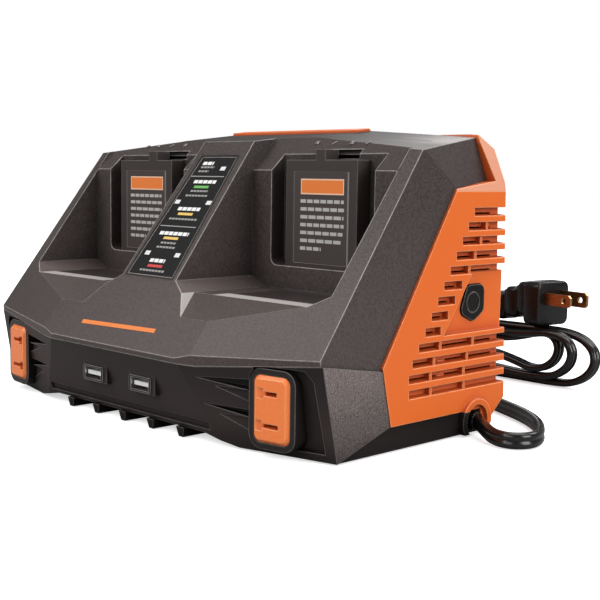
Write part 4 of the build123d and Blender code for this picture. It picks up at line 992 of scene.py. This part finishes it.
@dataclass
class Bays(Part):
    """The battery bays' terminal blocks and labels."""

    centre: float = 63.3
    half: float = 16.7
    rows: tuple[float, ...] = (27.0, 27.2, 27.0, 27.2, 26.6, 25.6, 13.6)
    first_row: float = 98.0
    row_step: float = 3.45
    row_height: float = 1.5
    foot: float = 71.6
    head: float = 111.4
    row_inset: float = 0.8
    dash: float = 4.1
    dash_step: float = 0.5
    gap: float = 0.7
    # widths of the painted edge highlights
    right_edge: float = 0.8
    left_edge: float = 0.5
    border: float = 0.5
    border_z: Span = (101.7, 108.5)
    block_z: Span = (102.3, 107.9)

    def patches(self, left: float, right: float) -> tuple[Patch, ...]:
        """Lays out the orange block in its pale border, the plain rows below it, and the painted highlights
        along the label's edges, paler on the right.

        Args:
            left: The block's left side, from the middle of the label.
            right: Its right side.

        Returns:
            The patches.
        """
        found = [
            # painted highlights along the label's right and left edges
            Patch(self.half - self.right_edge, self.half, self.foot, self.head, Ink.RIGHT_EDGE_HIGHLIGHT.value),
            Patch(-self.half, -self.half + self.left_edge, self.foot, self.head, Ink.LEFT_EDGE_HIGHLIGHT.value),
            Patch(left, right, *self.border_z, Ink.BORDER.value),
            Patch(left + self.border, right - self.border, *self.block_z, Ink.ORANGE.value),
        ]
        start = left - self.row_inset
        for index, long in enumerate(self.rows):
            z = self.first_row - index * self.row_step
            dash = self.dash + self.dash_step * (index % 3)
            top = z + self.row_height
            found.append(Patch(start, start + long, z, top, Ink.FADED.value, dash, self.gap))
        return tuple(found)

    def dress(self) -> None:
        """Paints both bays' pieces."""
        for side, sign, left, right in (("right", 1.0, -12.3, 13.9), ("left", -1.0, -13.0, 14.4)):
            found = self.patches(left, right)
            label = Print(f"{side}_block_print", (0.055, 0.043, 0.040), found, sign * self.centre, 0.5)
            self.paint({
                f"{side}_block_label": label.material(),
                f"{side}_terminal_block": self.finishes.block,
                f"{side}_terminal_blades": self.finishes.brass,
            })


@dataclass
class Sockets(Part):
    """The mains outlets and the USB sockets."""

    usb_at: tuple[tuple[str, float], ...] = (("right", 19.6), ("left", -15.9))
    usb_z: float = 20.0
    band: Pair = (7.5, 3.2)
    lip: Pair = (6.55, 2.72)

    def rim(self, side: str, x: float) -> Print:
        """Gives a USB socket's steel shell a dark band round its rim.

        Args:
            side: Which socket.
            x: Where its middle is.

        Returns:
            The finish.
        """
        band = Patch.around(0.0, self.usb_z, self.band, Ink.BAND)
        lip = Patch.around(0.0, self.usb_z, self.lip, Ink.LIP)
        return Print(f"{side}_usb_steel", (0.42, 0.39, 0.38), (band, lip), x, 0.3, metallic=1.0)

    def dress(self) -> None:
        """Paints every socket."""
        f = self.finishes
        for side, x in self.usb_at:
            self.paint({
                f"{side}_outlet_bezel": f.trim,
                f"{side}_outlet_face": f.outlet,
                f"{side}_outlet_back": f.trim,
                f"{side}_outlet_contacts": f.brass,
                f"{side}_usb_shell": self.rim(side, x).material(),
                f"{side}_usb_tongue": f.white,
            })
        self.paint({"usb_board": f.board})


@dataclass
class Power(Part):
    """The power board, what stands on it and the breaker."""

    button: Point = (114.83, 43.5, 56.6)
    ridge: float = 4.4
    bead: float = 0.4
    bead_squash: float = 0.35

    def dress(self) -> None:
        """Paints the inner parts and the reset button."""
        f = self.finishes
        self.paint({
            "main_board": f.board,
            "board_screws": f.steel,
            "board_connectors": f.white,
            "transformer_core": f.ferrite,
            "transformer_winding": f.tape,
            "line_filter_choke": f.copper,
            "input_capacitor": f.sleeve,
            "output_capacitors": f.sleeve,
            "left_heat_sink": f.aluminium,
            "right_heat_sink": f.aluminium,
            "power_transistors": f.trim,
            "relay": f.relay,
            "fuse": f.white,
            "breaker_body": f.trim,
            "breaker_terminals": f.brass,
            "reset_spring": f.steel,
            "reset_button": f.button,
        })
        self.ring()

    def ring(self) -> None:
        """Raises a round ridge on the reset button."""
        mesh = bmesh.new()
        x, y, z = self.button
        section = bmesh.ops.create_circle(mesh, cap_ends=False, radius=self.bead, segments=10)["verts"]
        bmesh.ops.scale(mesh, vec=(self.bead_squash, 1.0, 1.0), verts=section)
        bmesh.ops.translate(mesh, vec=(x, y + self.ridge, z), verts=section)
        edges = list(mesh.edges)
        bmesh.ops.spin(
            mesh, geom=edges, cent=(x, y, z), axis=(1.0, 0.0, 0.0), angle=math.tau, steps=40, use_merge=True
        )
        bmesh.ops.recalc_face_normals(mesh, faces=mesh.faces)
        make_piece("button_ridge", mesh, self.finishes.button, BUTTON)


@dataclass
class Cord(Part):
    """The flat cord: its near loop, its run behind the charger and its coil."""

    width: float = 7.0
    lobe: float = 1.95
    route: tuple[Point, ...] = (
        (121.0, 41.0, 6.0), (129.4, 34.8, 5.0), (137.4, 29.6, 3.9), (146.0, 28.6, 3.8), (151.6, 35.0, 3.8),
        (150.6, 43.8, 3.8), (144.6, 53.4, 3.8), (135.4, 64.6, 3.8), (120.8, 75.4, 3.8), (101.8, 85.2, 3.8),
        (79.0, 95.8, 3.8), (53.0, 109.4, 3.8), (22.0, 122.6, 3.8), (-12.0, 139.4, 3.8), (-42.0, 150.6, 3.8),
    )
    loops: tuple[tuple[Point, ...], ...] = (
        (
            (-66.0, 152.0, 3.9), (-82.0, 156.0, 4.4), (-88.0, 165.0, 5.6), (-82.0, 174.0, 7.4),
            (-66.0, 177.6, 9.2), (-48.0, 174.6, 10.4), (-24.0, 166.4, 10.8), (14.0, 163.6, 12.0),
            (36.0, 163.0, 15.4), (56.0, 163.0, 11.2), (64.4, 163.0, 8.6), (73.6, 163.4, 9.6),
            (80.0, 164.2, 15.2), (81.2, 164.8, 22.6), (76.0, 165.2, 28.2), (67.0, 165.6, 27.8),
            (52.0, 165.6, 23.4), (30.0, 165.6, 21.6), (-8.0, 166.0, 21.6), (-42.0, 166.0, 23.0),
            (-60.0, 165.6, 25.0),
        ),
        (
            (-74.0, 165.4, 22.6), (-78.4, 164.8, 14.0), (-73.0, 164.0, 5.4), (-60.0, 163.6, 3.4),
            (-44.0, 163.6, 5.4), (-8.0, 164.0, 6.2), (30.0, 164.0, 6.6), (56.0, 164.0, 4.9),
            (67.0, 164.0, 4.6), (77.4, 163.6, 5.4), (85.4, 162.6, 9.4), (90.4, 161.6, 14.8),
            (91.4, 161.0, 21.4), (87.0, 160.6, 27.4), (78.0, 160.8, 29.4), (62.0, 162.0, 27.0),
            (30.0, 163.0, 25.6), (-8.0, 163.4, 25.4), (-46.0, 163.6, 26.4), (-64.0, 165.0, 26.8),
        ),
        (
            (-76.0, 166.4, 22.0), (-79.0, 167.2, 12.6), (-71.0, 168.0, 3.2), (-52.0, 168.6, 2.2),
            (-8.0, 168.6, 2.2), (30.0, 168.4, 2.2), (60.0, 167.0, 2.2), (78.0, 166.4, 2.2),
            (88.4, 166.0, 3.0), (96.4, 166.0, 6.8), (101.4, 166.4, 12.8), (101.4, 167.2, 20.0),
            (95.4, 168.0, 26.0), (86.0, 169.0, 28.8), (76.0, 169.8, 29.6), (56.0, 170.2, 29.4),
            (20.0, 169.6, 29.2), (-14.0, 166.0, 29.4), (-44.0, 160.0, 31.0),
        ),
    )
    tail: tuple[Point, ...] = (
        (-64.0, 158.4, 32.4), (-76.0, 162.4, 33.2), (-79.0, 170.0, 33.6), (-72.0, 177.4, 34.0),
        (-56.0, 179.6, 34.4), (-26.0, 178.6, 35.0), (2.0, 178.0, 36.2), (20.0, 177.6, 37.8),
        (34.0, 176.6, 38.8),
    )
    coil_y: float = 158.0
    coil_start: float = 0.2
    twist: float = 0.16
    waist: float = 0.8

    def centreline(self) -> list[Vector]:
        """Draws the smooth line that the route, the coil's turns and the tail to the plug control.

        Returns:
            Its points, in millimetres.
        """
        data = bpy.data.curves.new("route", "CURVE")
        data.dimensions = "3D"
        spline = data.splines.new("NURBS")
        points = [*self.route, *(point for turn in self.loops for point in turn), *self.tail]
        spline.points.add(len(points) - 1)
        for place, point in zip(spline.points, points):
            place.co = (*point, 1.0)
        spline.order_u = 3
        spline.use_endpoint_u = True
        spline.resolution_u = 8
        item = link("route", data)
        mesh = bpy.data.meshes.new_from_object(item)
        line = [v.co.copy() for v in mesh.vertices]
        bpy.data.objects.remove(item)
        bpy.data.meshes.remove(mesh)
        bpy.data.curves.remove(data)
        return line

    def section(self, mesh: Mesh) -> list[Edge]:
        """Makes the two-lobed section, its width along its own Y.

        Args:
            mesh: The empty bmesh that it is made in.

        Returns:
            Its edges.
        """
        ring = bmesh.ops.create_circle(mesh, cap_ends=False, radius=1.0, segments=28)["verts"]
        centre = self.width / 2 - self.lobe
        for vert in ring:
            wide = vert.co.y * self.width / 2
            inner = min(abs(abs(wide) - centre), self.lobe)
            share = self.waist if abs(wide) < centre else 1.0
            tall = math.sqrt(max(self.lobe**2 - inner**2 * share, 0.0))
            vert.co = Vector((math.copysign(tall, vert.co.x) if abs(vert.co.x) > 1e-6 else 0.0, wide, 0.0))
        return list(mesh.edges)

    def frames(self, line: list[Vector]) -> list[Matrix]:
        """Finds where the section stands along the line.

        The cord stands on edge on the floor and turns to lie flat round the coil.

        Args:
            line: The centreline.

        Returns:
            One matrix for each point.
        """
        found = []
        wide = Vector((0.0, 0.0, 1.0))
        for index, point in enumerate(line):
            before = line[max(index - 1, 0)]
            after = line[min(index + 1, len(line) - 1)]
            along = (after - before).normalized()
            coiled = point.y > self.coil_y and index > len(line) * self.coil_start
            goal = Vector((0.0, 1.0, 0.0)) if coiled else Vector((0.0, 0.0, 1.0))
            wide = wide.lerp(goal, self.twist)
            flat = (wide - along * wide.dot(along)).normalized()
            third = flat.cross(along).normalized()
            found.append(Matrix.Translation(point) @ turned(third, flat, along))
        return found

    def build(self, plug: Item) -> None:
        """Args:
            plug: The plug's moulding, which is not used.
        """
        self.paint({"strain_relief": self.finishes.plug, "cord_tie": self.finishes.rubber})
        line = self.centreline()
        mesh = bmesh.new()
        edges = self.section(mesh)
        places = self.frames(line)
        bmesh.ops.transform(mesh, matrix=places[0], verts=mesh.verts)
        first = edges
        for before, after in zip(places, places[1:]):
            grown = bmesh.ops.extrude_edge_only(mesh, edges=edges)["geom"]
            verts = [g for g in grown if isinstance(g, Vert)]
            fresh = set(verts)
            edges = [g for g in grown if isinstance(g, Edge) and fresh.issuperset(g.verts)]
            bmesh.ops.transform(mesh, matrix=after @ before.inverted(), verts=verts)
        for rim in (first, edges):
            bmesh.ops.contextual_create(mesh, geom=rim)
        bmesh.ops.recalc_face_normals(mesh, faces=mesh.faces)
        cord = make_piece("flat_cord", mesh, self.finishes.jacket)
        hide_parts("power_cord", "cord_hank")


@dataclass
class Plug(Part):
    """The two-blade plug with its ribbed neck."""

    face: Pair = (73.0, 169.6)
    base: float = 31.6
    turn: float = -10.0
    size: Point = (11.0, 24.0, 24.0)
    neck: float = 30.0
    rise: float = 15.0
    neck_wide: float = 18.0
    neck_tall: float = 18.6
    taper: float = 0.08
    ribs: int = 3
    droop: float = 8.0
    foot: float = 0.3
    side_radius: float = 4.0
    end_radius: float = 1.4
    steps: tuple[tuple[float, ...], ...] = ((0.8, 1.0, 0.5, 0.5, 2.6), (1.0, 0.1, 0.42, 0.4, 1.6))

    def build(self) -> Item:
        """Moulds the plug's body.

        Returns:
            The body.
        """
        long, wide, tall = self.size
        mesh = box_mesh((-long, -wide / 2, self.foot), (0.0, wide / 2, tall))
        sides = [e for e in mesh.edges if abs(e.verts[0].co.x - e.verts[1].co.x) > 1.0]
        soften(mesh, sides, self.side_radius, 5)
        soften(mesh, [e for e in mesh.edges if e.calc_face_angle(0.0) > 0.6], self.end_radius)
        self.add_neck(mesh)
        spin = Matrix.Rotation(math.radians(self.turn), 4, "Z")
        place = Matrix.Translation((*self.face, self.base)) @ spin
        bmesh.ops.transform(mesh, matrix=place, verts=mesh.verts)
        body = make_piece("plug_moulding", mesh, self.finishes.plug)
        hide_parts("plug_body")
        self.paint({"plug_blades": self.finishes.blade})
        return body

    def add_neck(self, mesh: Mesh) -> None:
        """Adds the tapered neck, each step of it a rib and the core under it.

        The steps field holds how far each reaches back and ahead, its shares of the width and the height,
        and its rounding.

        Args:
            mesh: The plug's body.
        """
        step = self.neck / self.ribs
        for index in range(self.ribs):
            scale = 1.0 - self.taper * index
            wide, tall = self.neck_wide * scale, self.neck_tall * scale
            middle = self.rise - self.droop * (index + 0.5) / self.ribs
            start = -self.size[0] - index * step
            for back, ahead, across, over, radius in self.steps:
                low = (start - step * back, -wide * across, middle - tall * over)
                high = (start + ahead, wide * across, middle + tall * over)
                join_mesh(mesh, box_mesh(low, high, radius))


@dataclass
class Studio:
    """The floor, the light and the camera."""

    eye: Point = (406.1, -342.8, 108.8)
    yaw: float = -45.87
    pitch: float = 6.23
    roll: float = 0.79
    lens: float = 67.098
    glow: Span = (300.0, 900.0)
    aim: Point = (0.0, 0.0, 0.06)
    lamps: tuple[tuple[str, Point, Pair, float], ...] = (
        ("overhead", (0.15, 0.3, 1.45), (1.2, 1.0), 13.0),
        ("key", (-0.42, -0.78, 0.84), (0.9, 0.9), 8.5),
        ("front", (0.25, -1.5, 0.6), (1.2, 0.8), 7.5),
        ("side", (1.5, 0.1, 0.6), (0.9, 0.9), 16.0),
        ("rear", (0.43, 1.0, 0.95), (0.5, 0.5), 4.0),
        ("rim", (-0.66, 0.97, 0.46), (0.3, 0.25), 0.6),
    )

    def camera(self) -> None:
        """Stands the camera."""
        yaw, pitch, roll = (math.radians(a) for a in (self.yaw, self.pitch, self.roll))
        ahead = Vector((math.sin(yaw) * math.cos(pitch), math.cos(yaw) * math.cos(pitch), -math.sin(pitch)))
        right = Vector((math.cos(yaw), -math.sin(yaw), 0.0))
        up = right.cross(ahead)
        across = right * math.cos(roll) + up * math.sin(roll)
        over = up * math.cos(roll) - right * math.sin(roll)
        data = bpy.data.cameras.new("camera")
        data.lens = self.lens
        data.sensor_width = 36.0
        data.clip_start = 0.01
        item = link("camera", data)
        item.matrix_world = Matrix.Translation(Vector(self.eye) * MM) @ turned(across, over, -ahead)
        bpy.context.scene.camera = item

    def lamp(self, name: str, place: Point, size: Pair, power: float) -> None:
        """Hangs one soft lamp.

        Args:
            name: The lamp's name.
            place: Where it hangs, in metres.
            size: Its width and height.
            power: Its power in watts.
        """
        data = bpy.data.lights.new(name, "AREA")
        data.shape = "RECTANGLE"
        data.size, data.size_y = size
        data.energy = power
        item = link(name, data)
        item.location = place
        item.rotation_euler = (Vector(self.aim) - Vector(place)).to_track_quat("-Z", "Y").to_euler()

    def floor(self) -> None:
        """Lays the pale floor, which turns white between the two distances of the glow."""
        mesh = bmesh.new()
        bmesh.ops.create_grid(mesh, x_segments=1, y_segments=1, size=6.0)
        data = bpy.data.meshes.new("floor")
        mesh.to_mesh(data)
        mesh.free()
        item = link("floor", data)
        material, graph = new_material("floor")
        x, y, _ = graph.axes()
        near, far = self.glow
        glow = graph.mix((x * x + y * y).ramp(near**2, far**2), (0.58, 0.58, 0.58), (1.0, 1.0, 1.0))
        seen = graph.seen()
        mirrored = graph.ray("Glossy") * 0.12
        tone = graph.mix(seen.at_least(mirrored), (0.25, 0.25, 0.25), (0.90, 0.90, 0.90))
        shown = graph.mix(seen, NO_LIGHT, glow)
        graph.surface(Base_Color=tone, Roughness=0.9, Emission_Color=shown, Emission_Strength=1.0)
        paint(item, material)

    def world(self) -> None:
        """Sets the pale surroundings."""
        world = bpy.data.worlds.new("surroundings")
        bpy.context.scene.world = world
        world.use_nodes = True
        graph = Graph(world.node_tree)
        glow = graph.mix(graph.seen(), (0.22, 0.22, 0.225), (1.0, 1.0, 1.0))
        back = graph.add("ShaderNodeBackground", {}, {"Color": glow, "Strength": 1.0})
        graph.add("ShaderNodeOutputWorld", {}, {"Surface": back.out()})

    def build(self) -> None:
        """Builds the whole studio."""
        scene = bpy.context.scene
        scene.view_settings.view_transform = "Standard"
        self.camera()
        self.floor()
        self.world()
        for lamp in self.lamps:
            self.lamp(*lamp)


def main() -> None:
    """Loads the frame and dresses it."""
    logging.basicConfig(level=logging.INFO, format="%(name)s: %(message)s")
    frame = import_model()
    nodes = frame["nodes"]
    Studio().build()
    finishes = Finishes()
    Cord(finishes, nodes).build(Plug(finishes, nodes).build())
    for part in (Shells, Console, Bays, Sockets, Power):
        part(finishes, nodes).dress()
        log.info("dressed %s", part.__name__)


if __name__ == "__main__":
    main()
